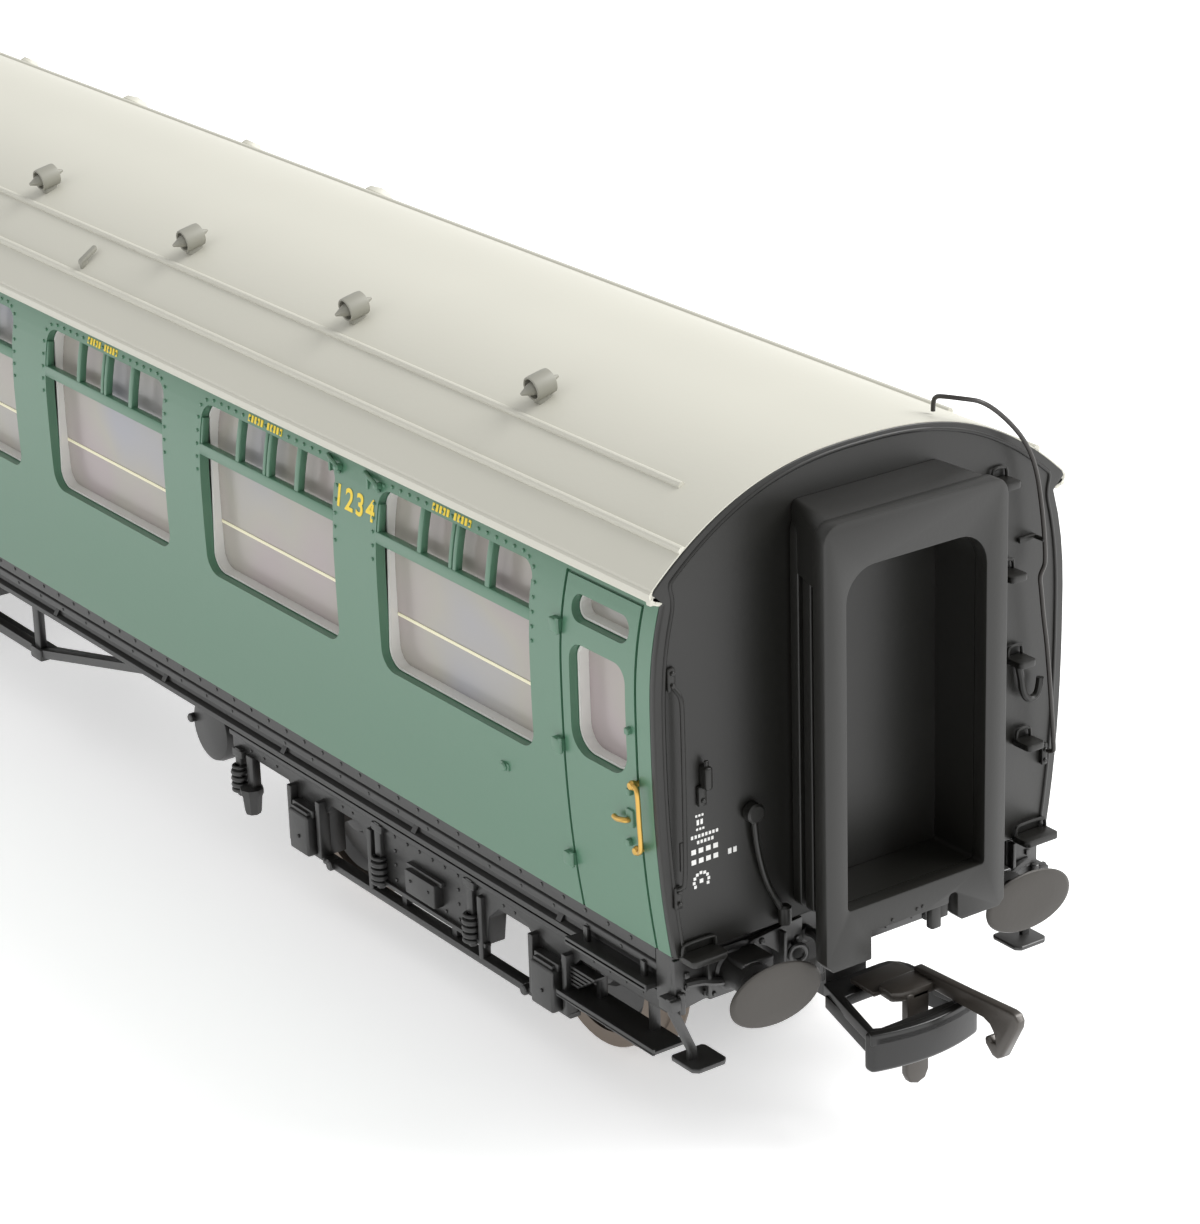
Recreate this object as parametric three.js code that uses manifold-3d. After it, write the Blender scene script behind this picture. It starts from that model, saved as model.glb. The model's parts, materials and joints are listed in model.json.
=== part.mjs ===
// Model passenger coach, 4 mm to the foot, running on 16.5 mm gauge track.
// Millimetres, +X along the coach, +Z up, origin on the surface under the middle of the coach.
import * as THREE from 'three';
import { mergeVertices } from 'three/addons/utils/BufferGeometryUtils.js';
import Module from 'manifold-3d';

const wasm = await Module();
wasm.setup();

// ---------- driving dimensions ----------
const bodyHalfLength = 129;       // outer faces of the end sheets
const bodyHalfWidth = 18.05;      // at the waist
const sillZ = 17.4;               // bottom edge of the sides
const waistZ = 35.5;
const eavesZ = 43.4;              // top edge of the sides
const crownZ = 51.4;              // top of the roof
const wallThickness = 1.2;
const endThickness = 1.0;
const jointGap = 0.15;            // between mouldings that touch

const bogieCentreX = 93;
const axleSpacing = 34;
const flangeRadius = 7.9;         // also the height of the axles
const treadRadius = 7.0;
const backToBack = 14.4;
const axleLength = 26;
const axleRadius = 1.0;

const bufferY = 11.42;
const bufferZ = 14.7;
const gangwayFaceX = 134.4;
const gangwayHalfWidth = 8.0;
const gangwayTopZ = 48.1;
const couplingTopZ = 10.0;

// ---------- materials ----------
const paint = (color, roughness = 0.5, metalness = 0) =>
  new THREE.MeshStandardMaterial({ color, roughness, metalness });
const coachGreen = paint(0x3c7a62, 0.35);
const roofGrey = paint(0xa3a59c, 0.6);
const underframeBlack = paint(0x1c1c1d, 0.6);
const clearPlastic = paint(0xd8e0e0, 0.08);
const interiorFawn = paint(0xb9a48c, 0.6);
const seatMaroon = paint(0x8f6f68, 0.7);
const blackenedSteel = paint(0x6a6660, 0.4, 0.8);
const wheelSteel = paint(0x8a8680, 0.35, 0.9);
const ballastSteel = paint(0x77787a, 0.5, 0.8);

// ---------- geometry helpers ----------
const toSolid = (geometry) => {
  const plain = geometry.clone();
  plain.deleteAttribute('normal');
  plain.deleteAttribute('uv');
  const merged = mergeVertices(plain, 1e-4);
  return new wasm.Manifold(new wasm.Mesh({
    numProp: 3,
    vertProperties: new Float32Array(merged.attributes.position.array),
    triVerts: new Uint32Array(merged.index.array),
  }));
};

const toGeometry = (solid) => {
  const { vertProperties, triVerts } = solid.getMesh();
  const geometry = new THREE.BufferGeometry();
  geometry.setAttribute('position', new THREE.BufferAttribute(vertProperties, 3));
  geometry.setIndex(new THREE.BufferAttribute(triVerts, 1));
  geometry.computeVertexNormals();
  return geometry;
};

const join = (...pieces) => toGeometry(pieces.map(toSolid).reduce((all, piece) => all.add(piece)));
const cut = (piece, ...tools) =>
  toGeometry(tools.map(toSolid).reduce((rest, tool) => rest.subtract(tool), toSolid(piece)));

const box = ([x0, x1], [y0, y1], [z0, z1]) =>
  new THREE.BoxGeometry(x1 - x0, y1 - y0, z1 - z0)
    .translate((x0 + x1) / 2, (y0 + y1) / 2, (z0 + z1) / 2);

const extrude = (shape, depth, curveSegments = 2) =>
  new THREE.ExtrudeGeometry(shape, { depth, bevelEnabled: false, curveSegments });

// An outline of [y, z] points run along X, and one of [x, z] points run along Y.
const alongX = (outline, x0, x1) => {
  const shape = new THREE.Shape(outline.map(([y, z]) => new THREE.Vector2(y, z)));
  const turn = new THREE.Matrix4().set(0, 0, 1, x0, 1, 0, 0, 0, 0, 1, 0, 0, 0, 0, 0, 1);
  return extrude(shape, x1 - x0).applyMatrix4(turn);
};
const alongY = (outline, y0, y1) => {
  const shape = outline instanceof THREE.Shape
    ? outline : new THREE.Shape(outline.map(([x, z]) => new THREE.Vector2(x, z)));
  const turn = new THREE.Matrix4().set(1, 0, 0, 0, 0, 0, -1, y1, 0, 1, 0, 0, 0, 0, 0, 1);
  return extrude(shape, y1 - y0).applyMatrix4(turn);
};

const roundedRectangle = (left, right, bottom, top, radius) => {
  const shape = new THREE.Shape();
  shape.moveTo(left + radius, bottom);
  shape.lineTo(right - radius, bottom);
  shape.absarc(right - radius, bottom + radius, radius, -Math.PI / 2, 0);
  shape.lineTo(right, top - radius);
  shape.absarc(right - radius, top - radius, radius, 0, Math.PI / 2);
  shape.lineTo(left + radius, top);
  shape.absarc(left + radius, top - radius, radius, Math.PI / 2, Math.PI);
  shape.lineTo(left, bottom + radius);
  shape.absarc(left + radius, bottom + radius, radius, Math.PI, 1.5 * Math.PI);
  return shape;
};

// A turned piece: the profile is [radius, distance along the axis], and the axis points along Y or X.
const turned = (profile, segments, axis) => {
  const points = profile.map(([radius, along]) => new THREE.Vector2(radius, along));
  const geometry = new THREE.LatheGeometry(points, segments);
  return axis === 'x' ? geometry.rotateZ(-Math.PI / 2) : geometry;
};
const rod = (radius, y0, y1, segments) =>
  turned([[0, y0], [radius, y0], [radius, y1], [0, y1]], segments, 'y');
const rodX = (radius, x0, x1, segments) =>
  turned([[0, x0], [radius, x0], [radius, x1], [0, x1]], segments, 'x');
const rodZ = (radius, z0, z1, segments) => rod(radius, z0, z1, segments).rotateX(Math.PI / 2);

// ---------- the scene graph ----------
const group = new THREE.Group();
const endGroups = ['front', 'rear'].map((end, index) => {
  const half = new THREE.Group();
  half.rotation.z = index * Math.PI;
  group.add(half);
  return { end, half };
});

const place = (name, geometry, material, parent = group) => {
  const piece = new THREE.Mesh(geometry, material);
  piece.name = name;
  parent.add(piece);
};
const placeAtEnds = (name, geometry, material) => {
  for (const { end, half } of endGroups) place(`${name}_${end}`, geometry, material, half);
};

// ---------- cross-section of the body ----------
const sideY = (z) => {
  const below = 1.28 * Math.max(0, (waistZ - z) / (waistZ - sillZ)) ** 2.5;
  const above = 1.05 * Math.max(0, (z - waistZ) / (eavesZ - waistZ)) ** 2.3;
  return bodyHalfWidth - below - above;
};
const shoulderY = 17.9;
const roofZ = (y) => crownZ - 6.75 * (Math.abs(y) / shoulderY) ** 2.5;

const sideLevels = [sillZ, 25, waistZ, 40, eavesZ];
const roofSteps = 14;
const roofStations = Array.from({ length: roofSteps + 1 },
  (_, step) => shoulderY * Math.sin((step / roofSteps - 0.5) * Math.PI));

// ---------- sides, with their window and door openings ----------
const windowWidth = 19.6;
const windowBottomZ = 28.3;
const windowTopZ = 42.1;
const windowCentres = [104.7, 79.2, 53.7, 28.2, -8.3, -33.8, -59.3, -84.8];
const doorWindowCentres = [122.5, 10.5, -122.5];
const lavatoryWindowCentre = -106.5;

const opening = (centre, width, bottom, top, radius) =>
  alongY(roundedRectangle(centre - width / 2, centre + width / 2, bottom, top, radius), -25, -10);
const sideOutline = [
  ...sideLevels.map((z) => [-sideY(z), z]),
  ...sideLevels.toReversed().map((z) => [-sideY(z) + wallThickness, z]),
];
const sidePanel = cut(
  alongX(sideOutline.toReversed(), -127.8, 127.8),
  ...windowCentres.map((x) => opening(x, windowWidth, windowBottomZ, windowTopZ, 1.8)),
  ...doorWindowCentres.map((x) => opening(x, 6.2, 30.1, 38.1, 1.4)),
  opening(lavatoryWindowCentre, 8.4, 31.0, windowTopZ, 1.5),
);
const glazingOutline = [27, waistZ, 42.9].map((z) => [-sideY(z) + wallThickness + jointGap, z]);
const glazingStrip = alongX([
  ...glazingOutline.toReversed(),
  ...glazingOutline.map(([y, z]) => [y + 0.7, z]),
], -127.3, 127.3);
for (const [side, turn] of [['near', 0], ['far', Math.PI]]) {
  place(`body_side_${side}`, sidePanel.clone().rotateZ(turn), coachGreen);
  place(`glazing_${side}`, glazingStrip.clone().rotateZ(turn), clearPlastic);
}

// ---------- roof with its row of torpedo vents ----------
const roofThickness = 1.25;
const roofOutline = [
  [-17.2, eavesZ + jointGap], [-18.14, 44.1],
  ...roofStations.map((y) => [y, roofZ(y)]),
  [18.14, 44.1], [17.2, eavesZ + jointGap], [16.2, eavesZ + jointGap],
  ...roofStations.slice(2, -2).toReversed().map((y) => [y * 0.9, roofZ(y) - roofThickness]),
  [-16.2, eavesZ + jointGap],
];
const ventPitch = 24.6;
const ventY = -10;
const ventZ = roofZ(ventY) + 1.35;
const vent = join(
  turned([[0, -1.9], [1.15, -0.6], [1.15, 0.6], [0, 1.9]], 6, 'y').translate(0, ventY, ventZ),
  box([-0.7, 0.7], [ventY - 0.8, ventY + 0.8], [ventZ - 2.2, ventZ - 0.2]),
);
const vents = Array.from({ length: 9 }, (_, bay) => vent.clone().translate(105.2 - bay * ventPitch, 0, 0));
place('roof', join(alongX(roofOutline.toReversed(), -127.8, 127.8), ...vents), roofGrey);

// ---------- end sheets ----------
const endOutline = [
  ...sideLevels.map((z) => [-sideY(z), z]),
  [-18.0, 44.2],
  ...roofStations.slice(1, -1).map((y) => [y, roofZ(y)]),
  [18.0, 44.2],
  ...sideLevels.toReversed().map((z) => [sideY(z), z]),
];
const endSheet = alongX(endOutline.toReversed(), bodyHalfLength - endThickness, bodyHalfLength);
placeAtEnds('end_sheet', endSheet, underframeBlack);

// ---------- interior: ballast strip, floor tray and two rows of seats ----------
const trayTopZ = 19.3;
place('ballast_strip', box([-76, 76], [-9, 9], [17.0, 18.1]), ballastSteel);
place('interior_tray', box([-126.5, 126.5], [-15, 15], [18.25, trayTopZ]), interiorFawn);

const seatBase = trayTopZ + jointGap;
const seatBay = (centre) => [
  [centre - 12.2, seatBase + 0.7], [centre - 12.2, 29.5], [centre - 11.0, 30.0],
  [centre - 9.6, 24.0], [centre - 5.2, 23.5], [centre - 5.2, seatBase + 0.7],
  [centre - 0.7, seatBase + 0.7], [centre - 0.7, 26.6], [centre - 4.2, 26.6], [centre - 4.2, 27.2],
  [centre + 4.2, 27.2], [centre + 4.2, 26.6], [centre + 0.7, 26.6], [centre + 0.7, seatBase + 0.7],
  [centre + 5.2, seatBase + 0.7], [centre + 5.2, 23.5], [centre + 9.6, 24.0],
  [centre + 11.0, 30.0], [centre + 12.2, 29.5], [centre + 12.2, seatBase + 0.7],
];
const seatOutline = [
  [-98, seatBase], [-98, seatBase + 0.7],
  ...windowCentres.toReversed().flatMap(seatBay),
  [119, seatBase + 0.7], [119, seatBase],
];
const seatRow = alongY(seatOutline.toReversed(), -14.8, -3.6);
place('seats_near', seatRow, seatMaroon);
place('seats_far', seatRow.clone().rotateZ(Math.PI), seatMaroon);

// ---------- underframe: floor pan, and solebars with their step boards ----------
const solebarZ = 13.9;
const solebarInnerY = 14.5;
const floorHalfLength = 126.2;
const floorZ = [16.2, 16.85];
const floorHalfWidth = solebarInnerY - jointGap;
place('underframe', box([-floorHalfLength, floorHalfLength], [-floorHalfWidth, floorHalfWidth], floorZ),
  underframeBlack);

const solebarOutline = [
  [-solebarInnerY, solebarZ], [-16.3, solebarZ], [-16.3, 14.4], [-15.7, 14.4],
  [-15.7, 16.5], [-16.5, 16.5], [-16.5, 17.2], [-solebarInnerY, 17.2],
];
const stepBoard = (x0, x1) => box([x0, x1], [-17.4, -15.9], [14.0, 14.5]);
const solebar = join(
  alongX(solebarOutline.toReversed(), -floorHalfLength, floorHalfLength),
  stepBoard(116.5, floorHalfLength), stepBoard(-floorHalfLength, -116.5),
);
place('solebar_near', solebar, underframeBlack);
place('solebar_far', solebar.clone().rotateZ(Math.PI), underframeBlack);

// ---------- truss rods, dynamo, battery boxes and vacuum cylinders ----------
const trussOutline = [
  [-55.5, 13.75], [-31.9, 8.0], [31.9, 8.0], [55.5, 13.75], [52.3, 13.75], [32.2, 8.9],
  [31.8, 13.75], [30.6, 13.75], [30.6, 8.9], [-30.6, 8.9], [-30.6, 13.75], [-31.8, 13.75],
  [-32.2, 8.9], [-52.3, 13.75],
];
const truss = alongY(trussOutline, -14.9, -13.9);
place('truss_near', truss, underframeBlack);
place('truss_far', truss.clone().rotateZ(Math.PI), underframeBlack);

const hangTopZ = 16.05;
const batteryBox = join(
  box([-15, 15], [-12.9, -7.4], [7.6, 14.6]),
  box([-12, -9], [-11.4, -9], [14.0, hangTopZ]),
  box([9, 12], [-11.4, -9], [14.0, hangTopZ]),
);
place('battery_box_near', batteryBox, underframeBlack);
place('battery_box_far', batteryBox.clone().rotateZ(Math.PI), underframeBlack);

const dynamoX = 57.2;
place('dynamo', join(
  rod(2.9, -12.4, -6.6, 14).translate(dynamoX, 0, 9.0),
  box([dynamoX - 1.2, dynamoX + 1.2], [-10.5, -8.5], [9.0, hangTopZ]),
), underframeBlack);
for (const [name, x, y] of [['vacuum_cylinder_a', 42, 3], ['vacuum_cylinder_b', -42, -3]]) {
  place(name, rodZ(4.2, 7.4, hangTopZ, 14).translate(x, y, 0), underframeBlack);
}

// ---------- headstocks with buffer housings and steps; sprung buffers ----------
const headstockX = [126.4, 127.9];
const housingEndX = 131.0;
const housing = (y) => rodX(1.7, headstockX[1] - 0.6, housingEndX, 12).translate(0, y, bufferZ);
const housingBore = (y) => rodX(0.9, 127.2, 133, 12).translate(0, y, bufferZ);
const headstockStep = (side) => join(
  box([127.1, 130.1], [side * 14.7 - 1.5, side * 14.7 + 1.5], [8.7, 9.2]),
  box([127.1, 127.7], [side * 14.7 - 0.5, side * 14.7 + 0.5], [9.0, 13.4]),
);
const headstock = cut(
  join(box(headstockX, [-15.6, 15.6], [12.9, 17.2]), housing(-bufferY), housing(bufferY),
    headstockStep(-1), headstockStep(1)),
  housingBore(-bufferY), housingBore(bufferY),
);
placeAtEnds('headstock', headstock, underframeBlack);

const bufferFaceX = 133.3;
const bufferHead = join(
  rodX(1, bufferFaceX - 0.55, bufferFaceX, 20).scale(1, 3.95, 2.25),
  rodX(0.6, 128.7, bufferFaceX - 0.2, 10),
);
for (const [side, y] of [['left', bufferY], ['right', -bufferY]]) {
  placeAtEnds(`buffer_${side}`, bufferHead.clone().translate(0, y, bufferZ), blackenedSteel);
}

// ---------- gangways: bellows and faceplate ----------
const gangwayRing = (outer, inner, x0, x1) => cut(
  alongX(outer, x0, x1),
  box([x0 - 1, x1 + 1], [-inner.halfWidth, inner.halfWidth], [inner.bottom, inner.top]),
);
const gangwayOpening = { halfWidth: 6.1, bottom: 19.75, top: 44.6 };
const bellowsOutline = [[-7.1, 18.6], [7.1, 18.6], [7.1, 47.0], [6.0, 47.9], [-6.0, 47.9], [-7.1, 47.0]];
placeAtEnds('gangway_bellows', gangwayRing(
  bellowsOutline, gangwayOpening, bodyHalfLength + jointGap, 133.0,
), underframeBlack);
const legInnerY = 4.0;
const faceplateOutline = [
  [-gangwayHalfWidth, 16.4], [-7.1, 15.5], [-legInnerY, 15.5], [-legInnerY, 17.7],
  [legInnerY, 17.7], [legInnerY, 15.5], [7.1, 15.5], [gangwayHalfWidth, 16.4],
  [gangwayHalfWidth, 47.2], [7.1, gangwayTopZ], [-7.1, gangwayTopZ], [-gangwayHalfWidth, 47.2],
];
placeAtEnds('gangway_faceplate', gangwayRing(
  faceplateOutline, gangwayOpening, 133.0 + jointGap, gangwayFaceX,
), underframeBlack);

// ---------- wire handrail that climbs the end and turns over the roof ----------
const wireRadius = 0.3;
const wireRoute = new THREE.CatmullRomCurve3([
  [127.2, 7.4, 51.5], [128.4, 7.4, 52.1], [129.6, 8.4, 52.2], [130.1, 11.5, 50.9], [130.2, 14.2, 48.0],
  [130.2, 15.3, 44.6], [130.2, 15.5, 40.6], [130.2, 15.0, 38.4], [130.2, 15.7, 35.4], [130.2, 16.2, 24.0],
].map(([x, y, z]) => new THREE.Vector3(x, y, z)), false, 'centripetal');
const wireSection = new THREE.Shape(Array.from({ length: 6 }, (_, corner) => {
  const angle = corner * Math.PI / 3;
  return new THREE.Vector2(wireRadius * Math.cos(angle), wireRadius * Math.sin(angle));
}));
placeAtEnds('end_handrail', new THREE.ExtrudeGeometry(wireSection, {
  extrudePath: wireRoute, steps: 18, bevelEnabled: false,
}), underframeBlack);

// ---------- couplings: swinging arm, loop bar and lifting hook ----------
const couplingPivotX = 121;
const couplingArm = join(
  rodZ(1.9, 11.2, hangTopZ, 12).translate(couplingPivotX, 0, 0),
  box([couplingPivotX, 126.6], [-1.6, 1.6], [11.2, 12.2]),
  box([124.6, 126.6], [-1.9, 1.9], [8.6, 12.2]),
);
placeAtEnds('coupling_arm', couplingArm, underframeBlack);

const barOuter = new THREE.Shape();
barOuter.moveTo(126.8, -2.3);
barOuter.lineTo(135.0, -4.6);
barOuter.quadraticCurveTo(136.7, 0.3, 135.0, 5.2);
barOuter.lineTo(126.8, 4.3);
const loop = new THREE.Shape([[129.0, -2.0], [134.0, -3.5], [134.2, 4.1], [129.0, 3.4]]
  .map(([x, y]) => new THREE.Vector2(x, y)));
const couplingBar = cut(
  join(
    extrude(barOuter, 1.0, 6).translate(0, 0, couplingTopZ - 1.0),
    box([134.25, 135.0], [-4.5, 5.1], [6.9, couplingTopZ - 0.4]),
  ),
  extrude(loop, 4).translate(0, 0, couplingTopZ - 2),
);
placeAtEnds('coupling_bar', couplingBar, underframeBlack);

const hookRestZ = couplingTopZ + 0.15;
const hookOutline = [
  [127.6, hookRestZ], [138.6, hookRestZ], [139.4, 9.4], [139.3, 8.6], [138.5, 8.9], [138.2, 8.3],
  [139.4, 7.5], [140.3, 8.0], [141.6, 11.0], [141.0, 11.7], [136.0, 11.4], [127.6, 11.2],
];
const couplingHook = join(
  alongY(hookOutline, 2.9, 3.7),
  box([128.4, 132.9], [-0.6, 3.4], [hookRestZ, 10.8]),
  box([132.2, 132.9], [0.4, 2.4], [3.3, 10.6]),
);
placeAtEnds('coupling_hook', couplingHook, underframeBlack);

// ---------- bogies: side frames, bolster, footboard, pivot screw, axles and wheels ----------
const frameInnerY = 12.2;
const frameOuterY = 14.2;
const halfSpacing = axleSpacing / 2;
const beamZ = [10.2, 11.9];
const hornHalfWidth = 2.4;
const hornBottomZ = 5.6;
const hornOutline = (x) => [
  [x - hornHalfWidth, beamZ[0]], [x - hornHalfWidth, hornBottomZ],
  [x + hornHalfWidth, hornBottomZ], [x + hornHalfWidth, beamZ[0]],
];
const bogieSideOutline = [
  [-29.0, beamZ[0]], ...hornOutline(-halfSpacing),
  [-9.6, beamZ[0]], [-8.6, 6.4], [8.6, 6.4], [9.6, beamZ[0]],
  ...hornOutline(halfSpacing), [30.8, beamZ[0]], [30.8, beamZ[1]], [-29.0, beamZ[1]],
];
const bearingHole = (x) => rod(1.3, -13.35, 13.35, 12).translate(x, 0, flangeRadius);
const axlebox = (x, side) => box([x - 1.6, x + 1.6],
  side < 0 ? [-15.2, -13.9] : [13.9, 15.2], [5.4, 9.4]);
const footboard = join(
  box([18.9, 30.8], [-15.2, -12.3], [7.2, 7.6]),
  box([27.5, 28.5], [-13.3, -12.5], [7.4, 10.6]),
);
const bogieFrame = cut(
  join(
    alongY(bogieSideOutline, -frameOuterY, -frameInnerY),
    alongY(bogieSideOutline, frameInnerY, frameOuterY),
    box([-5.5, 5.5], [-12.5, 12.5], [8.6, 12.2]),
    rodZ(3.6, 12.0, 13.3, 12),
    axlebox(-halfSpacing, -1), axlebox(halfSpacing, -1), axlebox(-halfSpacing, 1), axlebox(halfSpacing, 1),
    footboard,
  ),
  rodZ(1.7, 8, 14, 12),
  bearingHole(-halfSpacing), bearingHole(halfSpacing),
);
const pivotScrew = turned([
  [0, 7.2], [3.0, 7.2], [3.0, 8.3], [1.45, 8.3], [1.45, 13.5], [3.2, 13.5], [3.2, hangTopZ], [0, hangTopZ],
], 12, 'y').rotateX(Math.PI / 2);

const axlePoint = 1.0;
const axle = turned([
  [0, -axleLength / 2], [axleRadius, axlePoint - axleLength / 2],
  [axleRadius, axleLength / 2 - axlePoint], [0, axleLength / 2],
], 12, 'y');
const wheelInnerY = backToBack / 2;
const wheelWidth = 2.8;
const flangeWidth = 0.8;
const wheelBore = axleRadius + 0.1;
const wheelProfile = [
  [wheelBore, wheelInnerY], [flangeRadius, wheelInnerY], [treadRadius, wheelInnerY + flangeWidth],
  [treadRadius, wheelInnerY + wheelWidth], [wheelBore, wheelInnerY + wheelWidth],
  [wheelBore, wheelInnerY],
];
const wheel = turned(wheelProfile, 24, 'y');

for (const { end, half } of endGroups) {
  const bogie = new THREE.Group();
  bogie.position.x = bogieCentreX;
  half.add(bogie);
  place(`bogie_frame_${end}`, bogieFrame, underframeBlack, bogie);
  place(`bogie_pivot_${end}`, pivotScrew, blackenedSteel, bogie);
  for (const [which, x] of [['outer', halfSpacing], ['inner', -halfSpacing]]) {
    const wheelset = new THREE.Group();
    wheelset.position.set(x, 0, flangeRadius);
    bogie.add(wheelset);
    place(`axle_${end}_${which}`, axle, blackenedSteel, wheelset);
    place(`wheel_${end}_${which}_left`, wheel, wheelSteel, wheelset);
    place(`wheel_${end}_${which}_right`, wheel.clone().rotateZ(Math.PI), wheelSteel, wheelset);
  }
}

export default group;
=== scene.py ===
import json
import math

import bpy
from mathutils import Matrix, Vector


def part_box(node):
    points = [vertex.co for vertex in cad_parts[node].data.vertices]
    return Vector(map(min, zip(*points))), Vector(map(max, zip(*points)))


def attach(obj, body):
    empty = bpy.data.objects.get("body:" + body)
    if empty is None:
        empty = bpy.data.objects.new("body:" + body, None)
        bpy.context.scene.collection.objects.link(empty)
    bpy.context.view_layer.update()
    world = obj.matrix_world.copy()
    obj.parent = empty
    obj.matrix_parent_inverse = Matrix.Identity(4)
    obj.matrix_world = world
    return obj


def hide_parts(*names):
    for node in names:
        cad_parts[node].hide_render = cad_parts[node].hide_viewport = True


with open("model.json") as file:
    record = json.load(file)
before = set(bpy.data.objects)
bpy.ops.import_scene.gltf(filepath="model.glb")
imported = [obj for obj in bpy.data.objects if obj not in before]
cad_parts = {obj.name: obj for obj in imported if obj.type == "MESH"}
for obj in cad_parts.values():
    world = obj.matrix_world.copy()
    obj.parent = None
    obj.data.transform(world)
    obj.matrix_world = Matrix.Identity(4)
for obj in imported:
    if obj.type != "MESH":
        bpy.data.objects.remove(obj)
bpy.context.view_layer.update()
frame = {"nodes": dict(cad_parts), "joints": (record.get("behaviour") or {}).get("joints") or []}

# --------------------
# Camera: a long lens above the near front corner of the coach, looking down
# its length, so that the front end and the first windows fill the picture.
mm = 0.001
camera_place = Vector((313.0, -150.8, 134.1)) * mm
camera_azimuth = math.radians(55.04)
camera_elevation = math.radians(21.81)
camera_roll = math.radians(-1.83)

camera_data = bpy.data.cameras.new("camera")
camera_data.sensor_width = 36
camera_data.lens = 110.35
camera_data.clip_start = 0.01
camera = bpy.data.objects.new("camera", camera_data)
bpy.context.collection.objects.link(camera)
camera.matrix_world = (
    Matrix.Translation(camera_place)
    @ Matrix.Rotation(camera_azimuth, 4, "Z")
    @ Matrix.Rotation(math.pi / 2 - camera_elevation, 4, "X")
    @ Matrix.Rotation(camera_roll, 4, "Z")
)
bpy.context.scene.camera = camera


# --------------------
# Floor pan: a flat black moulding that everything below the body hangs from,
# with cross ribs moulded on its underside.
def select_only(*pieces):
    bpy.ops.object.select_all(action="DESELECT")
    for piece in pieces:
        piece.select_set(True)
    bpy.context.view_layer.objects.active = pieces[0]


def bevel(piece, width, segments=2, angle=40):
    """Rounds every edge sharper than the angle, by a width in millimetres."""
    select_only(piece)
    rounding = piece.modifiers.new("rounding", "BEVEL")
    rounding.width = width * mm
    rounding.segments = segments
    rounding.limit_method = "ANGLE"
    rounding.angle_limit = math.radians(angle)
    bpy.ops.object.modifier_apply(modifier=rounding.name)


def span(middle, half):
    return middle - half, middle + half


def place_piece():
    """Moves the last primitive's place, turn and scale into its mesh."""
    bpy.ops.object.transform_apply(location=True, rotation=True, scale=True)
    return bpy.context.object


def block(name, x, y, z, edge=0.0, segments=2):
    """A box between two limits (mm) on each axis, with rounded edges."""
    bpy.ops.object.select_all(action="DESELECT")
    middle = [(low + high) / 2 * mm for low, high in (x, y, z)]
    size = [(high - low) * mm for low, high in (x, y, z)]
    bpy.ops.mesh.primitive_cube_add(size=1, location=middle, scale=size)
    piece = place_piece()
    piece.name = piece.data.name = name
    if edge:
        bevel(piece, edge, segments)
    return piece


def joined(name, *pieces):
    select_only(*pieces)
    if len(pieces) > 1:
        bpy.ops.object.join()
    piece = bpy.context.object
    piece.name = piece.data.name = name
    return piece


def fit(piece, body, material, slot, *nodes, smooth=35):
    """Gives a piece its finish and fixes it to the body it moves with."""
    select_only(piece)
    bpy.ops.object.shade_smooth_by_angle(angle=math.radians(smooth))
    piece.data.materials.clear()
    piece.data.materials.append(material)
    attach(piece, body)
    if nodes:
        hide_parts(*nodes)


def cad_box(node):
    """The two far corners of a part, in millimetres."""
    return [corner / mm for corner in map(Vector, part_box(node))]


def repaint(node, material):
    """Gives a part that is used as it is its finish."""
    materials = frame["nodes"][node].data.materials
    materials.clear()
    materials.append(material)


# The skin of every moulding and casting: slight patches of tone and sheen, a
# fine grain, and a little dust where the surface faces up.
skin = bpy.data.node_groups.new("moulded skin", "ShaderNodeTree")
for label, kind, start in (
    ("Colour", "NodeSocketColor", (0.5, 0.5, 0.5, 1)), ("Patches", "NodeSocketFloat", 0.1),
    ("Sheen", "NodeSocketFloat", 0.4), ("Sheen patches", "NodeSocketFloat", 0.1),
    ("Grain scale", "NodeSocketFloat", 2500), ("Grain depth", "NodeSocketFloat", 0.00001),
    ("Dust", "NodeSocketFloat", 0.0),
):
    socket = skin.interface.new_socket(name=label, in_out="INPUT", socket_type=kind)
    socket.default_value = start
for label, kind in (("Colour", "NodeSocketColor"), ("Roughness", "NodeSocketFloat"),
                    ("Normal", "NodeSocketVector")):
    skin.interface.new_socket(name=label, in_out="OUTPUT", socket_type=kind)


def skin_node(kind, **settings):
    node = skin.nodes.new(kind)
    for name, value in settings.items():
        setattr(node, name, value)
    return node


skin_in = skin_node("NodeGroupInput")
skin_out = skin_node("NodeGroupOutput")
place = skin_node("ShaderNodeTexCoord")
patches = skin_node("ShaderNodeTexNoise")
patches.inputs["Scale"].default_value = 70
patches.inputs["Detail"].default_value = 5
grain = skin_node("ShaderNodeTexNoise")
grain.inputs["Detail"].default_value = 3
swing = skin_node("ShaderNodeMath", operation="SUBTRACT")
swing.inputs[1].default_value = 0.5
tone = skin_node("ShaderNodeMath", operation="MULTIPLY_ADD")
tone.inputs[2].default_value = 1.0
toned = skin_node("ShaderNodeVectorMath", operation="SCALE")
rough = skin_node("ShaderNodeMath", operation="MULTIPLY_ADD")
bump = skin_node("ShaderNodeBump")
bump.inputs["Strength"].default_value = 1.0
facing = skin_node("ShaderNodeNewGeometry")
facing_up = skin_node("ShaderNodeSeparateXYZ")
settled = skin_node("ShaderNodeMath", operation="MULTIPLY")
settled.use_clamp = True
settled_patchy = skin_node("ShaderNodeMath", operation="MULTIPLY")
settled_patchy.use_clamp = True
dusted = skin_node("ShaderNodeMix", data_type="RGBA")
dusted.inputs["B"].default_value = (0.16, 0.15, 0.13, 1)
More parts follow.
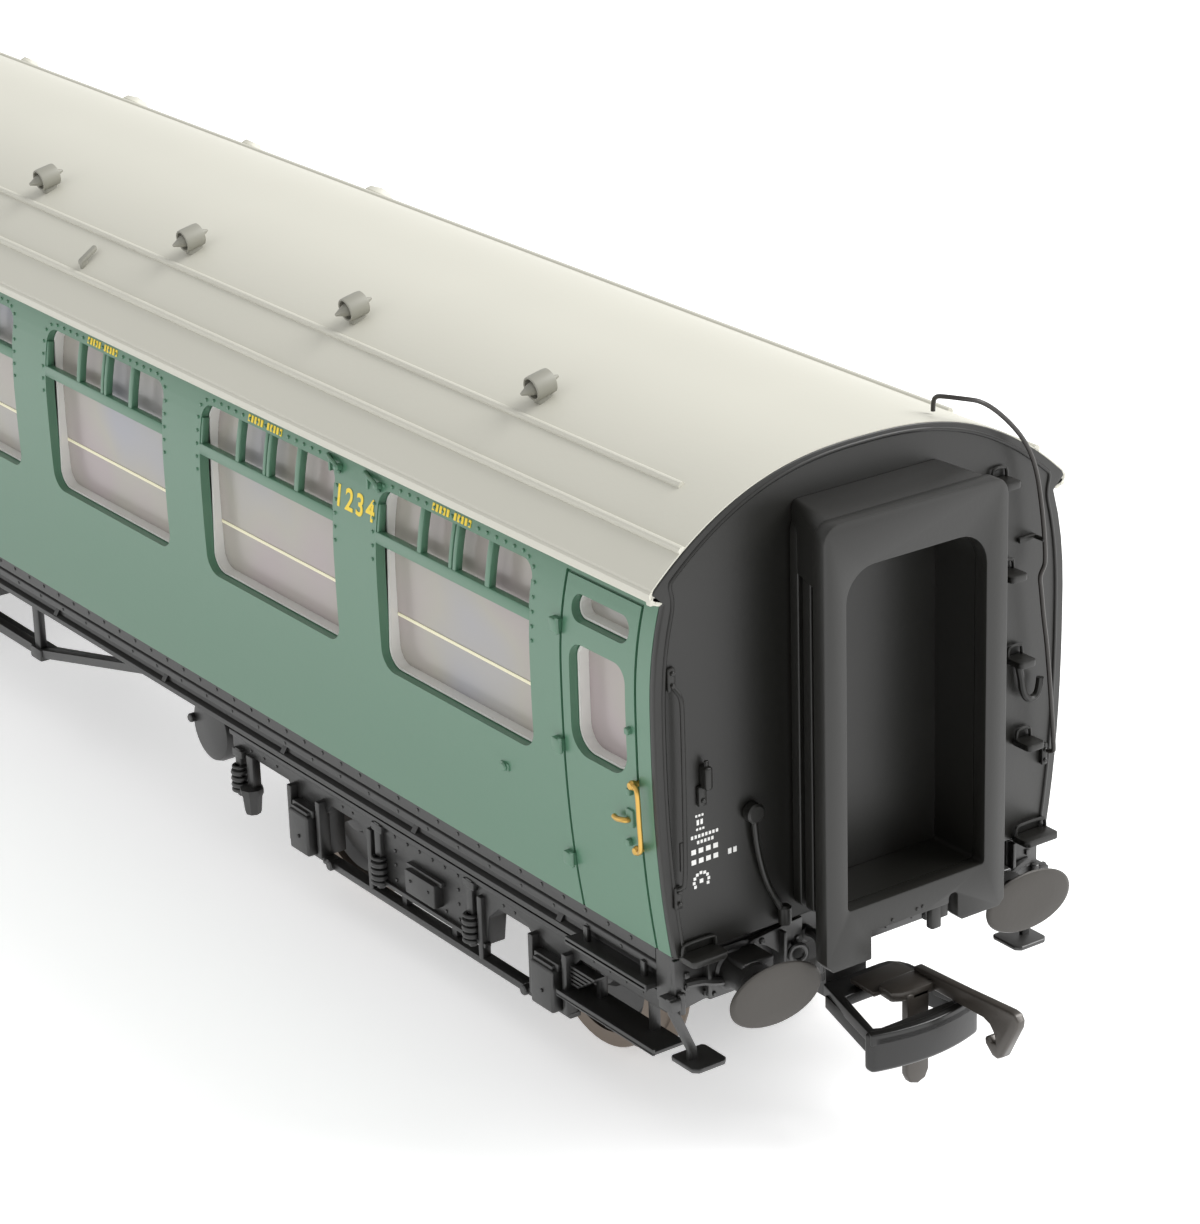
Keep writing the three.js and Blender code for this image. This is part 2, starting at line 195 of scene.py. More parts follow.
for source, target in (
    (place.outputs["Object"], patches.inputs["Vector"]),
    (place.outputs["Object"], grain.inputs["Vector"]),
    (skin_in.outputs["Grain scale"], grain.inputs["Scale"]),
    (patches.outputs["Fac"], swing.inputs[0]),
    (swing.outputs[0], tone.inputs[0]), (skin_in.outputs["Patches"], tone.inputs[1]),
    (skin_in.outputs["Colour"], toned.inputs[0]), (tone.outputs[0], toned.inputs["Scale"]),
    (swing.outputs[0], rough.inputs[0]), (skin_in.outputs["Sheen patches"], rough.inputs[1]),
    (skin_in.outputs["Sheen"], rough.inputs[2]), (grain.outputs["Fac"], bump.inputs["Height"]),
    (skin_in.outputs["Grain depth"], bump.inputs["Distance"]),
    (facing.outputs["Normal"], facing_up.inputs[0]), (facing_up.outputs["Z"], settled.inputs[0]),
    (skin_in.outputs["Dust"], settled.inputs[1]), (settled.outputs[0], settled_patchy.inputs[0]),
    (patches.outputs["Fac"], settled_patchy.inputs[1]),
    (settled_patchy.outputs[0], dusted.inputs["Factor"]),
    (toned.outputs[0], dusted.inputs["A"]), (dusted.outputs["Result"], skin_out.inputs["Colour"]),
    (rough.outputs[0], skin_out.inputs["Roughness"]),
    (bump.outputs["Normal"], skin_out.inputs["Normal"]),
):
    skin.links.new(source, target)


def finish(name, colour, sheen, patch=0.12, sheen_patch=0.12, scale=2500, depth=0.006, dust=0.0,
           metal=0.0,
           coat=0.0, shine=0.5):
    """A painted, moulded or metal finish. Grain depth is in millimetres."""
    material = bpy.data.materials.new(name)
    material.use_nodes = True
    shader = material.node_tree.nodes["Principled BSDF"]
    node = material.node_tree.nodes.new("ShaderNodeGroup")
    node.node_tree = skin
    node.inputs["Colour"].default_value = (*colour, 1)
    node.inputs["Patches"].default_value = patch
    node.inputs["Sheen"].default_value = sheen
    node.inputs["Sheen patches"].default_value = sheen_patch
    node.inputs["Grain scale"].default_value = scale
    node.inputs["Grain depth"].default_value = depth * mm
    node.inputs["Dust"].default_value = dust
    shader.inputs["Metallic"].default_value = metal
    shader.inputs["Coat Weight"].default_value = coat
    shader.inputs["Coat Roughness"].default_value = 0.25
    shader.inputs["Specular IOR Level"].default_value = shine
    links = material.node_tree.links
    links.new(node.outputs["Colour"], shader.inputs["Base Color"])
    links.new(node.outputs["Roughness"], shader.inputs["Roughness"])
    links.new(node.outputs["Normal"], shader.inputs["Normal"])
    return material


underframe_black = finish("underframe black", (0.009, 0.0088, 0.0082), 0.40, patch=0.35,
                          depth=0.008, dust=0.05, shine=0.9)

repaint("underframe", underframe_black)
pan_low, pan_high = cad_box("underframe")
ribs = [block("rib", span(x, 0.4), (pan_low.y + 0.4, pan_high.y - 0.4),
              (pan_low.z - 0.25, pan_low.z + 0.1),
              edge=0.1) for x in range(-70, 71, 20)]
fit(joined("floor_pan_ribs", *ribs), "coach", underframe_black, "underframe_black")


# --------------------
# Solebars: the channel beams along both edges of the floor, each moulded with
# a riveted top strip, a lower flange and brackets, and carrying step boards.
def edit(piece):
    select_only(piece)
    bpy.ops.object.mode_set(mode="EDIT")
    bpy.ops.mesh.select_all(action="SELECT")


def leave_edit():
    bpy.ops.object.mode_set(mode="OBJECT")


directions = {"x": (1, 0, 0), "y": (0, 1, 0), "z": (0, 0, 1)}


def plate(name, outline, axis, low, high, edge=0.0, segments=2):
    """A flat outline (mm) of points across the axis, extruded along it."""
    bpy.ops.object.select_all(action="DESELECT")
    bpy.ops.mesh.primitive_circle_add(vertices=len(outline), radius=mm, fill_type="NGON")
    piece = bpy.context.object
    piece.name = piece.data.name = name
    for vertex, (a, b) in zip(piece.data.vertices, outline):
        spot = {"x": (low, a, b), "y": (a, low, b), "z": (a, b, low)}[axis]
        vertex.co = Vector(spot) * mm
    step = Vector(directions[axis]) * (high - low) * mm
    edit(piece)
    bpy.ops.mesh.extrude_region_move(TRANSFORM_OT_translate={"value": step})
    bpy.ops.mesh.select_all(action="SELECT")
    bpy.ops.mesh.normals_make_consistent(inside=False)
    leave_edit()
    if edge:
        bevel(piece, edge, segments)
    return piece


def turned(name, outline, axis, centre, steps=32):
    """A closed outline of (radius, along) points spun round an axis."""
    bpy.ops.object.select_all(action="DESELECT")
    bpy.ops.mesh.primitive_circle_add(vertices=len(outline), radius=mm, fill_type="NOTHING")
    piece = bpy.context.object
    piece.name = piece.data.name = name
    for vertex, (radius, along) in zip(piece.data.vertices, outline):
        spot = {"x": (along, radius, 0), "y": (0, along, radius), "z": (radius, 0, along)}[axis]
        vertex.co = (Vector(spot) + Vector(centre)) * mm
    edit(piece)
    bpy.ops.mesh.spin(steps=steps, angle=math.tau, center=Vector(centre) * mm,
                      axis=directions[axis])
    bpy.ops.mesh.select_all(action="SELECT")
    bpy.ops.mesh.remove_doubles(threshold=0.002 * mm)
    bpy.ops.mesh.normals_make_consistent(inside=False)
    leave_edit()
    return piece


def copy_of(piece, change):
    """A copy with its own mesh, moved or turned by a matrix in metres."""
    twin = piece.copy()
    twin.data = piece.data.copy()
    bpy.context.collection.objects.link(twin)
    twin.data.transform(change)
    if change.determinant() < 0:
        twin.data.flip_normals()
    return twin


def shifted(piece, x=0, y=0, z=0):
    return copy_of(piece, Matrix.Translation(Vector((x, y, z)) * mm))


half_turn = Matrix.Rotation(math.pi, 4, "Z")
sides = ("near", "far")


def fit_pair(piece, base, labels, body, material, slot, *nodes, smooth=35):
    """Fits a piece and its twin turned half a circle: front and rear ends,
    or near and far sides. Braces in the names take the label."""
    twin = copy_of(piece, half_turn)
    for item, label in zip((piece, twin), labels):
        item.name = item.data.name = f"{base}_{label}"
        fit(item, body.format(label), material, slot,
            *[node.format(label) for node in nodes], smooth=smooth)


def mesh_copies(name, source, spots):
    """One piece made of a small shape repeated at many places."""
    copies = [shifted(source, *spot) for spot in spots]
    bpy.data.objects.remove(source)
    return joined(name, *copies)


def rivet(radius, height, axis="y", sign=-1, steps=8):
    """A round rivet head at the origin that stands out along an axis."""
    head = [(0, -0.1 * sign), (radius, -0.1 * sign), (radius, 0),
            (radius * 0.75, height * 0.7 * sign),
            (0, height * sign)]
    return turned("rivet", head, axis, (0, 0, 0), steps)


sole_low, sole_high = cad_box("solebar_near")
sole_half = sole_high.x
face_y = -16.5
channel = plate("channel", [
    (-14.5, 17.2), (face_y, 17.2), (face_y, 16.25), (-16.1, 16.15), (-16.1, 15.95),
    (-16.35, 15.85),
    (-16.35, 15.3), (-15.75, 15.15), (-15.75, 14.45), (-16.3, 14.35), (-16.3, sole_low.z),
    (-14.5, sole_low.z),
], "x", -sole_half, sole_half, edge=0.07)
strip_rivets = mesh_copies("strip rivets", rivet(0.17, 0.12), [
    (x / 10, face_y, 16.85) for x in range(-1250, 1251, 27)])
flange_rivets = mesh_copies("flange rivets", rivet(0.15, 0.10), [
    (x / 10, -16.35, 15.58) for x in range(-1240, 1241, 41)])
bracket = plate("bracket", [(-16.3, 14.3), (-14.6, 16.9), (-14.6, 14.3)], "x", -0.3, 0.3)
brackets = mesh_copies("brackets", bracket, [(x, 0, -0.1) for x in range(-114, 115, 19)])
boards = []
for centre in (-121.35, 121.35):
    board = block("board", span(centre, 4.85), (-17.4, -14.6), (14.05, 14.45), edge=0.12,
                  segments=3)
    lip = block("lip", span(centre, 4.85), (-17.4, -17.15), (13.95, 14.55), edge=0.1)
    hangers = [block("hanger", span(centre + x, 0.25), (-16.6, -16.2), (14.2, 15.6), edge=0.08)
               for x in (-3.4, 3.4)]
    boards += [board, lip, *hangers]
fit_pair(joined("solebar", channel, strip_rivets, flange_rivets, brackets, *boards),
         "solebar_full", sides,
         "coach", underframe_black, "underframe_black", "solebar_{}")


# --------------------
# Truss rods and the gear that hangs between them: battery boxes, the dynamo
# and the two vacuum cylinders, all black mouldings clipped into the floor.
def rod(name, axis, centre, radius, low, high, edge=0.0, steps=20):
    """A round bar between two places along an axis, with eased ends."""
    edge = min(edge, radius * 0.9)
    outline = [(0, low), (radius - edge, low), (radius, low + edge),
               (radius, high - edge), (radius - edge, high), (0, high)]
    if not edge:
        outline = [(0, low), (radius, low), (radius, high), (0, high)]
    return turned(name, outline, axis, centre, steps)


rail = plate("rail", [
    (-55.5, 13.75), (-31.9, 8.0), (31.9, 8.0), (55.5, 13.75), (52.3, 13.75), (32.2, 8.9),
    (-32.2, 8.9), (-52.3, 13.75),
], "y", -14.9, -14.0, edge=0.12)
rail_web = plate("rail web", [
    (-53.5, 13.6), (-31.8, 8.3), (31.8, 8.3), (53.5, 13.6), (52.9, 13.6), (31.9, 8.7),
    (-31.9, 8.7), (-52.9, 13.6),
], "y", -14.1, -13.2, edge=0.05)
posts = []
for x in (-31.2, 31.2):
    posts += [block("post", span(x, 0.55), (-14.8, -14.1), (8.6, 13.9), edge=0.12),
              block("shoe", span(x, 1.0), (-15.1, -13.9), (7.75, 8.9), edge=0.18),
              block("foot", span(x, 0.9), (-14.9, -13.9), (13.2, 13.9), edge=0.1)]
for x in (-10.4, 10.4):
    posts.append(block("strut", span(x, 0.35), (-14.7, -14.2), (8.6, 13.9), edge=0.1))
fit_pair(joined("truss", rail, rail_web, *posts), "truss_rods", sides, "coach", underframe_black,
         "underframe_black", "truss_{}")

case = block("case", (-15, 15), (-12.9, -7.4), (7.6, 14.6), edge=0.25)
case_fittings = []
for x in (-10, 0, 10):
    case_fittings.append(block("lid", span(x, 4.3), (-13.05, -12.8), (8.4, 13.5), edge=0.12))
    for side in (-2.6, 2.6):
        case_fittings.append(block("hinge", span(x + side, 0.4), (-13.3, -12.9), (13.1, 14.0),
                                   edge=0.1))
    case_fittings.append(rod("knob", "y", (x, 0, 9.2), 0.35, -13.35, -12.9, edge=0.1, steps=12))
straps = [block("strap", span(x, 1.5), (-11.4, -9), (14.0, 16.05), edge=0.12)
          for x in (-10.5, 10.5)]
fit_pair(joined("battery", case, *case_fittings, *straps), "battery_case", sides, "coach",
         underframe_black,
         "underframe_black", "battery_box_{}")

dynamo_low, dynamo_high = cad_box("dynamo")
dynamo_x = (dynamo_low.x + dynamo_high.x) / 2
barrel = turned("barrel", [
    (0, -12.4), (2.3, -12.4), (2.75, -12.2), (2.9, -11.8), (2.9, -10.9), (2.7, -10.7), (2.7, -8.3),
    (2.85, -8.2), (2.85, -7.3), (2.2, -6.7), (0, -6.6),
], "y", (dynamo_x, 0, 9.0), 32)
nose = rod("nose", "y", (dynamo_x - 2.5, 0, 9.3), 0.4, -12.8, -11.4, edge=0.1, steps=10)
arm = block("arm", span(dynamo_x, 1.2), (-10.5, -8.5), (10.5, 16.05), edge=0.2)
fit(joined("dynamo_full", barrel, nose, arm), "coach", underframe_black, "underframe_black",
    "dynamo")

for label in "ab":
    low, high = cad_box(f"vacuum_cylinder_{label}")
    centre = (low + high) / 2
    tank = turned("tank", [
        (0, 7.4), (1.0, 7.4), (1.1, 7.7), (3.2, 8.0), (3.9, 8.6), (4.1, 9.4), (4.1, 12.0),
        (4.2, 12.1), (4.2, 12.7),
        (4.1, 12.8), (4.1, 15.2), (3.4, 16.0), (0, 16.05),
    ], "z", (centre.x, centre.y, 0), 32)
    fit(joined(f"vacuum_tank_{label}", tank), "coach", underframe_black, "underframe_black",
        f"vacuum_cylinder_{label}")


# --------------------
# Bogies: each is one black moulding of two side frames and a bolster, with
# axleboxes, coil springs and a footboard, held by a blackened pivot screw.
def cut(piece, *cutters):
    """Cuts pockets and holes with cutters that are thrown away."""
    tool = joined("cutter", *cutters)
    select_only(piece)
    pocket = piece.modifiers.new("pocket", "BOOLEAN")
    pocket.object = tool
    pocket.operation = "DIFFERENCE"
    pocket.solver = "EXACT"
    pocket.use_self = True
    bpy.ops.object.modifier_apply(modifier=pocket.name)
    bpy.data.objects.remove(tool)
    return piece


mirror_y = Matrix.Scale(-1, 4, (0, 1, 0))
ends = ("front", "rear")


def joint_place(name):
    """Where a joint is, in millimetres."""
    return [value / mm for joint in frame["joints"] if joint["name"] == name
            for value in joint["pos_m"]]


def ring(middle, radius, thickness, steps, lean=(0, 0, 0)):
    """A ring of round wire, with steps round it and round the wire."""
    bpy.ops.object.select_all(action="DESELECT")
    bpy.ops.mesh.primitive_torus_add(
        location=[value * mm for value in middle], rotation=lean, major_radius=radius * mm,
        minor_radius=thickness * mm, major_segments=steps[0], minor_segments=steps[1])
    return place_piece()


def both_hands(name, piece):
    """The piece and its mirror image across the coach, as one."""
    return joined(name, piece, copy_of(piece, mirror_y))


blackened_steel = finish("blackened steel", (0.17, 0.158, 0.145), 0.42, patch=0.25,
                         sheen_patch=0.2, scale=3500,
                         depth=0.006, metal=0.85)
bogie_x = joint_place("bogie_swivel_front")[0]
axle_z = joint_place("wheel_spin_front_outer")[2]
axle_x = (-17.0, 17.0)
frame_face_y = -13.9
spring_y = -14.1

beam_outline = [(-29.0, 10.2)]
for x in axle_x:
    beam_outline += [(x - 3.3, 10.2), (x - 2.4, 9.3), (x - 2.4, 5.6), (x + 2.4, 5.6),
                     (x + 2.4, 9.3), (x + 3.3, 10.2)]
    if x < 0:
        beam_outline += [(-9.8, 10.2), (-8.4, 9.0), (-8.0, 6.5), (8.0, 6.5), (8.4, 9.0),
                         (9.8, 10.2)]
beam_outline += [(30.8, 10.2), (30.8, 11.9), (8.6, 11.9), (8.2, 12.3), (-8.2, 12.3), (-8.6, 11.9),
                 (-29.0, 11.9)]
side_frame = plate("side frame", beam_outline, "y", frame_face_y, -12.2, edge=0.12)
flange_top = block("flange top", (-29.0, 30.8), (-14.2, -13.6), (11.45, 11.9), edge=0.1)
flange_low = block("flange low", (-8.2, 8.2), (-14.2, -13.6), (6.4, 6.8), edge=0.1)
frame_parts = [side_frame, flange_top, flange_low]
for x in axle_x:
    for side in (-2.15, 2.15):
        frame_parts.append(block("horn", span(x + side, 0.3), (-14.6, -13.6), (5.5, 10.4),
                                 edge=0.1))
    frame_parts += [
        block("axlebox", span(x, 1.4), (-15.2, -13.2), (5.4, 8.9), edge=0.22, segments=3),
        block("cap", span(x, 1.55), (-14.7, -13.2), (8.7, 9.4), edge=0.15),
        block("lip", span(x, 1.2), (-15.0, -13.6), (8.85, 9.2), edge=0.1),
        rod("bolt", "y", (x + 0.1, 0, 6.9), 0.16, -15.35, -15.1, edge=0.05, steps=8),
        block("tie", span(x, 2.5), (-14.4, -13.4), (5.2, 5.65), edge=0.12),
    ]
    frame_parts.append(rod("knob", "y", (x - 1.65, 0, 7.0), 0.3, -14.6, -13.8, edge=0.08,
                           steps=10))
    if x > 0:
        for leaf in range(5):
            frame_parts.append(block("leaf", (x + 1.2, x + 5.4 - leaf * 0.5), (-14.2, -13.2),
                                     (9.3 - leaf * 0.34, 9.54 - leaf * 0.34), edge=0.06))
# Coil springs on swing links flank the plated centre, and one stands with its
# damper at the inner end.
for x, top, bottom in ((-27.7, 10.2, 6.9), (-6.4, 11.2, 6.5), (6.4, 11.2, 6.5)):
    frame_parts.append(block("hanger", span(x, 0.42), (-14.3, -13.5), (bottom + 1.9, top + 0.4),
                             edge=0.12))
    for turn in range(3):
        frame_parts.append(ring((x, spring_y, bottom + 0.5 + turn * 0.55), 0.58, 0.24, (20, 8)))
    frame_parts += [
        rod("core", "z", (x, spring_y, 0), 0.5, bottom, bottom + 2.2, edge=0.08, steps=16),
        rod("seat", "z", (x, spring_y, 0), 0.8, bottom - 0.1, bottom + 0.2, edge=0.08, steps=20),
        rod("cap", "z", (x, spring_y, 0), 0.7, bottom + 1.95, bottom + 2.2, edge=0.08, steps=20),
        rod("nut", "z", (x, spring_y, 0), 0.34, bottom - 0.55, bottom, edge=0.08, steps=6),
        block("clip", span(x, 0.75), (-14.35, -13.5), (top - 0.4, top + 0.3), edge=0.12),
    ]
frame_parts += [
    turned("damper", [(0, 5.3), (0.62, 5.35), (0.72, 5.6), (0.85, 6.9), (1.0, 7.2), (1.0, 7.6),
                      (0.4, 7.8), (0, 7.8)], "z",
           (-26.0, spring_y, 0), 8),
    block("damper arm", (-26.5, -25.5), (-14.2, -13.4), (7.5, 10.4), edge=0.12),
]
for x in (-7.7, 7.7):
    frame_parts.append(block("swing link", span(x, 0.3), (-14.3, -13.5), (5.3, 10.6), edge=0.12))
centre_rivets = mesh_copies("centre rivets", rivet(0.17, 0.12), [
    (x, frame_face_y, z) for x in (-4.4, -2.6, -0.9, 0.9, 2.6, 4.4) for z in (7.3, 11.0)] + [
    (x, frame_face_y, z) for x in (-4.4, 4.4) for z in (8.6, 9.8)])
beam_rivets = mesh_copies("beam rivets", rivet(0.14, 0.1), [
    (x, frame_face_y, 10.8) for x in (-26, -24, -22, -12, -10.5, 10.5, 12, 22, 24, 26, 28)])
bolster_end = block("bolster end", (-1.9, 2.2), (-14.75, -13.6), (7.5, 9.5), edge=0.15)
bolster_slot = block("bolster slot", (-2.3, 2.6), (-14.3, -13.6), (9.3, 9.75), edge=0.1)
bolster_bolts = mesh_copies("bolster bolts", rivet(0.16, 0.14, steps=6),
                            [(-1.1, -14.75, 8.7), (1.4, -14.75, 8.7)])
tie_bar = block("tie bar", (-15.0, 15.0), (-14.3, -13.2), (4.9, 5.55), edge=0.15)
tie_ends = [rod("tie end", "y", (x, 0, 5.25), 0.42, -14.6, -13.4, edge=0.1, steps=12)
            for x in (-13.6, 13.6)]
tie_drops = [block("tie drop", span(x, 0.35), (-13.9, -13.3), (5.2, 6.8), edge=0.1)
             for x in (-3.5, 3.5)]
footboard = block("footboard", (18.9, 30.8), (-15.2, -12.3), (7.25, 7.55), edge=0.1, segments=2)
footboard_lip = block("footboard lip", (18.9, 30.8), (-15.2, -14.95), (7.2, 7.75), edge=0.1)
footboard_arms = [block("footboard arm", span(x, 0.3), (-13.3, -12.6), (7.4, 10.6), edge=0.1)
                  for x in (21.6, 28.0)]
footboard_stays = [block("footboard stay", span(x, 0.3), (-14.9, -12.6), (6.9, 7.3), edge=0.08)
                   for x in (21.6, 24.8, 28.0)]
brake_parts = []
for x in axle_x:
    for reach in (-1, 1):
        shoe_x = x + reach * 8.25
        if abs(shoe_x) > 24:
            continue
        brake_parts += [
            block("brake shoe", span(shoe_x, 0.45), (-9.6, -8.3), (5.6, 9.2), edge=0.2),
            block("brake hanger", span(shoe_x, 0.25), (-9.3, -8.8), (8.6, 11.9), edge=0.08),
        ]
half_bogie = both_hands("half bogie", joined(
    "bogie side", *frame_parts, centre_rivets, beam_rivets, bolster_end, bolster_slot,
    bolster_bolts, tie_bar,
    *tie_ends, *tie_drops, *brake_parts))
bolster = block("bolster", (-5.5, 5.5), (-12.6, 12.6), (8.6, 12.2), edge=0.3)
bolster_disc = rod("bolster disc", "z", (0, 0, 0), 3.6, 12.0, 13.3, edge=0.15, steps=36)
cross_bars = [block("cross bar", span(x, 0.5), (-12.4, 12.4), (10.4, 11.7), edge=0.15)
              for x in (-8.6, 8.6, -25.5)]
pivot_hole = rod("pivot hole", "z", (0, 0, 0), 1.7, 8.0, 14.0, steps=28)
bolster = cut(joined("bolster", bolster, bolster_disc), pivot_hole)
bogie = joined("bogie", bolster, half_bogie, *cross_bars, footboard, footboard_lip,
               *footboard_arms, *footboard_stays)
bogie.data.transform(Matrix.Translation((bogie_x * mm, 0, 0)))
fit_pair(bogie, "bogie_casting", ends, "bogie_{}", underframe_black, "underframe_black",
         "bogie_frame_{}")

pivot = turned("pivot", [
    (0, 7.2), (2.6, 7.2), (3.0, 7.5), (3.0, 8.3), (1.45, 8.3), (1.45, 13.5), (3.2, 13.5),
    (3.2, 16.05), (0, 16.05),
], "z", (bogie_x, 0, 0), 28)
driver_slot = block("driver slot", span(bogie_x, 2.6), (-0.35, 0.35), (7.0, 7.7))
pivot = cut(pivot, driver_slot)
fit_pair(pivot, "pivot_screw", ends, "coach", blackened_steel, "blackened_steel", "bogie_pivot_{}")


# --------------------
# Wheelsets: turned steel tyres round black disc centres, pressed on to steel
# axles that end in points and run in the bogie frames.
wheel_steel = finish("wheel steel", (0.20, 0.165, 0.135), 0.34, patch=0.2, sheen_patch=0.25,
                     scale=5000, depth=0.003,
                     metal=0.95)
axle_outline = [(0, -13), (1.0, -12), (1.0, -10.1), (1.15, -10.0), (1.15, -7.1), (1.0, -7.0),
                (1.0, 7.0), (1.15, 7.1),
                (1.15, 10.0), (1.0, 10.1), (1.0, 12), (0, 13)]
tyre_outline = [
    (5.7, 7.25), (7.55, 7.2), (7.82, 7.32), (7.88, 7.55), (7.75, 7.8), (7.3, 7.95), (7.08, 8.15),
    (6.98, 9.9),
    (6.9, 10.0), (5.8, 10.0), (5.6, 9.6),
]
centre_outline = [
    (1.1, 7.2), (1.9, 7.25), (2.1, 7.6), (2.4, 8.0), (5.2, 8.0), (5.4, 7.7), (5.75, 7.6),
    (5.75, 9.6), (5.3, 9.35),
    (4.9, 9.0), (2.5, 9.2), (2.1, 9.9), (1.7, 10.0), (1.1, 10.0),
]
for end, sign in zip(ends, (1, -1)):
    for which, offset in (("outer", axle_x[1]), ("inner", axle_x[0])):
        hub = ((bogie_x + offset) * sign, 0, axle_z)
        body = f"wheelset_{end}_{which}"
        axle = turned(f"axle_steel_{end}_{which}", axle_outline, "y", hub, 20)
        fit(axle, body, blackened_steel, "blackened_steel", f"axle_{end}_{which}")
        for hand, side in (("left", 1), ("right", -1)):
            wheel = f"{end}_{which}_{hand}"
            spread = [(radius, along * side * sign) for radius, along in tyre_outline]
            fit(turned(f"tyre_{wheel}", spread, "y", hub, 56), body, wheel_steel, "wheel_steel",
                f"wheel_{wheel}")
            spread = [(radius, along * side * sign) for radius, along in centre_outline]
            fit(turned(f"wheel_disc_{wheel}", spread, "y", hub, 40), body, underframe_black,
                "underframe_black")


# --------------------
# Couplings: a swinging arm and socket under the headstock, a loop with a deep
# curved bar, and a pivoted hook that lies over the bar with a dropper below.
coupling_black = finish("coupling black", (0.008, 0.0078, 0.0075), 0.30, patch=0.3, depth=0.004,
                        dust=0.03)
boss = rod("boss", "z", (121, 0, 0), 1.9, 11.2, 16.05, edge=0.2, steps=28)
tongue = block("tongue", (121, 126.6), (-1.6, 1.6), (11.2, 12.2), edge=0.15)
socket = block("socket", (124.6, 126.6), (-1.9, 1.9), (8.6, 12.2), edge=0.15)
fit_pair(joined("arm", boss, tongue, socket), "coupling_swing_arm", ends, "coupler_{}",
         underframe_black,
         "underframe_black", "coupling_arm_{}")

bow = [(135.0 + 0.85 * (1 - ((y - 0.3) / 4.9) ** 2), y)
       for y in [-4.6 + 0.7 * step for step in range(15)]]
loop_plate = plate("loop plate", [
    (126.8, -2.3), *bow, (128.2, 4.5), (127.5, 4.2), (126.9, 3.6), (126.8, 2.8),
], "z", 9.1, 10.0)
loop_hole = plate("loop hole", [
    (129.3, -2.3), (134.15, -3.75), (134.4, -3.3), (134.4, 3.5), (134.1, 4.0), (129.9, 3.4),
    (129.3, 2.9),
], "z", 8, 11)
loop_plate = cut(loop_plate, loop_hole)
bevel(loop_plate, 0.12, 3)
face_back = [(x - 0.95, y) for x, y in reversed(bow)]
deep_bar = plate("deep bar", [*bow, *face_back], "z", 6.95, 10.02, edge=0.38, segments=5)
side_webs = [plate("side web", [(127.4, 9.4), (134.6, 9.4), (134.6, 7.9), (127.4, 8.4)], "y",
                   y - 0.3, y + 0.3, edge=0.1)
             for y in (-3.95, 4.6)]
for web in side_webs:
    for vertex in web.data.vertices:
        if vertex.co.x < 131 * mm:
            vertex.co.y *= 0.62
fit_pair(joined("loop", loop_plate, deep_bar, *side_webs), "coupling_loop", ends, "coupler_{}",
         coupling_black,
         "underframe_black", "coupling_bar_{}")

hook_brown = finish("hook steel", (0.050, 0.043, 0.036), 0.34, patch=0.3, sheen_patch=0.2,
                    scale=3000, depth=0.005, shine=0.9,
                    metal=0.35)
claw = plate("claw", [
    (130.5, 10.15), (138.0, 10.15), (138.7, 9.9), (139.2, 9.3), (139.3, 8.7), (138.9, 8.65),
    (138.6, 9.0), (138.2, 8.75),
    (138.25, 8.3), (139.0, 7.6), (139.5, 7.5), (140.1, 7.9), (141.55, 10.7), (141.6, 11.2),
    (141.3, 11.65), (140.8, 11.75),
    (136.0, 11.45), (130.5, 11.2),
], "y", 2.9, 3.7, edge=0.16, segments=3)
hook_tongue = plate("hook tongue", [(128.1, -0.9), (130.9, -1.0), (130.9, 3.6), (128.1, 3.4)], "z",
                    10.12, 10.5, edge=0.08)
hook_table = plate("hook table", [
    (130.5, 0.2), (130.8, -0.5), (132.3, -0.6), (132.7, 0.0), (132.9, 1.0), (132.9, 2.5),
    (132.7, 3.65), (130.5, 3.65),
], "z", 10.15, 10.9, edge=0.12)
dropper = plate("dropper", [
    (0.4, 10.6), (0.4, 4.2), (0.7, 3.55), (1.4, 3.3), (2.1, 3.55), (2.4, 4.2), (2.4, 10.6),
], "x", 132.2, 132.9, edge=0.14, segments=3)
fit_pair(joined("hook", claw, hook_tongue, hook_table, dropper), "coupling_claw", ends, "hook_{}",
         hook_brown,
         "blackened_steel", "coupling_hook_{}")


# --------------------
# Headstocks: the black beams across the ends, each with two buffer housings,
# bolted brackets, hoses beside the gangway and hanging steps at the corners.
def wire(name, points, radius, smooth=True, sides=2):
    """A round wire or bead along a route of points in millimetres."""
    route = bpy.data.curves.new(name, "CURVE")
    route.dimensions = "3D"
    route.bevel_depth = radius * mm
    route.bevel_resolution = sides
    route.resolution_u = 6
    route.use_fill_caps = True
    spline = route.splines.new("NURBS" if smooth else "POLY")
    spline.points.add(len(points) - 1)
    for spline_point, point in zip(spline.points, points):
        spline_point.co = (*[value * mm for value in point], 1)
    spline.use_endpoint_u = True
    spline.order_u = 3
    piece = bpy.data.objects.new(name, route)
    bpy.context.collection.objects.link(piece)
    select_only(piece)
    bpy.ops.object.convert(target="MESH")
    return bpy.context.object


beam = block("beam", (126.4, 127.9), (-15.6, 15.6), (12.9, 17.2), edge=0.15)
sole_ends = both_hands("sole ends",
                       block("sole end", (126.2, 128.1), (-16.5, -14.4), (13.2, 17.2), edge=0.15))
buffer_y = 11.42
buffer_z = 14.7
shank_bore = 0.85
housing = turned("housing", [
    (0.85, 127.6), (1.55, 127.6), (1.55, 128.3), (1.35, 128.45), (1.2, 129.2), (1.2, 130.3),
    (1.35, 130.4),
    (1.4, 130.95), (0.85, 131.0),
], "x", (0, buffer_y, buffer_z), 28)
housing_box = block("housing box", (127.8, 130.5), (buffer_y - 1.9, buffer_y + 0.7), (14.9, 16.1),
                    edge=0.14, segments=3)
housing_plate = block("housing plate", (127.8, 128.2), span(buffer_y, 2.0), (12.9, 16.6),
                      edge=0.12)
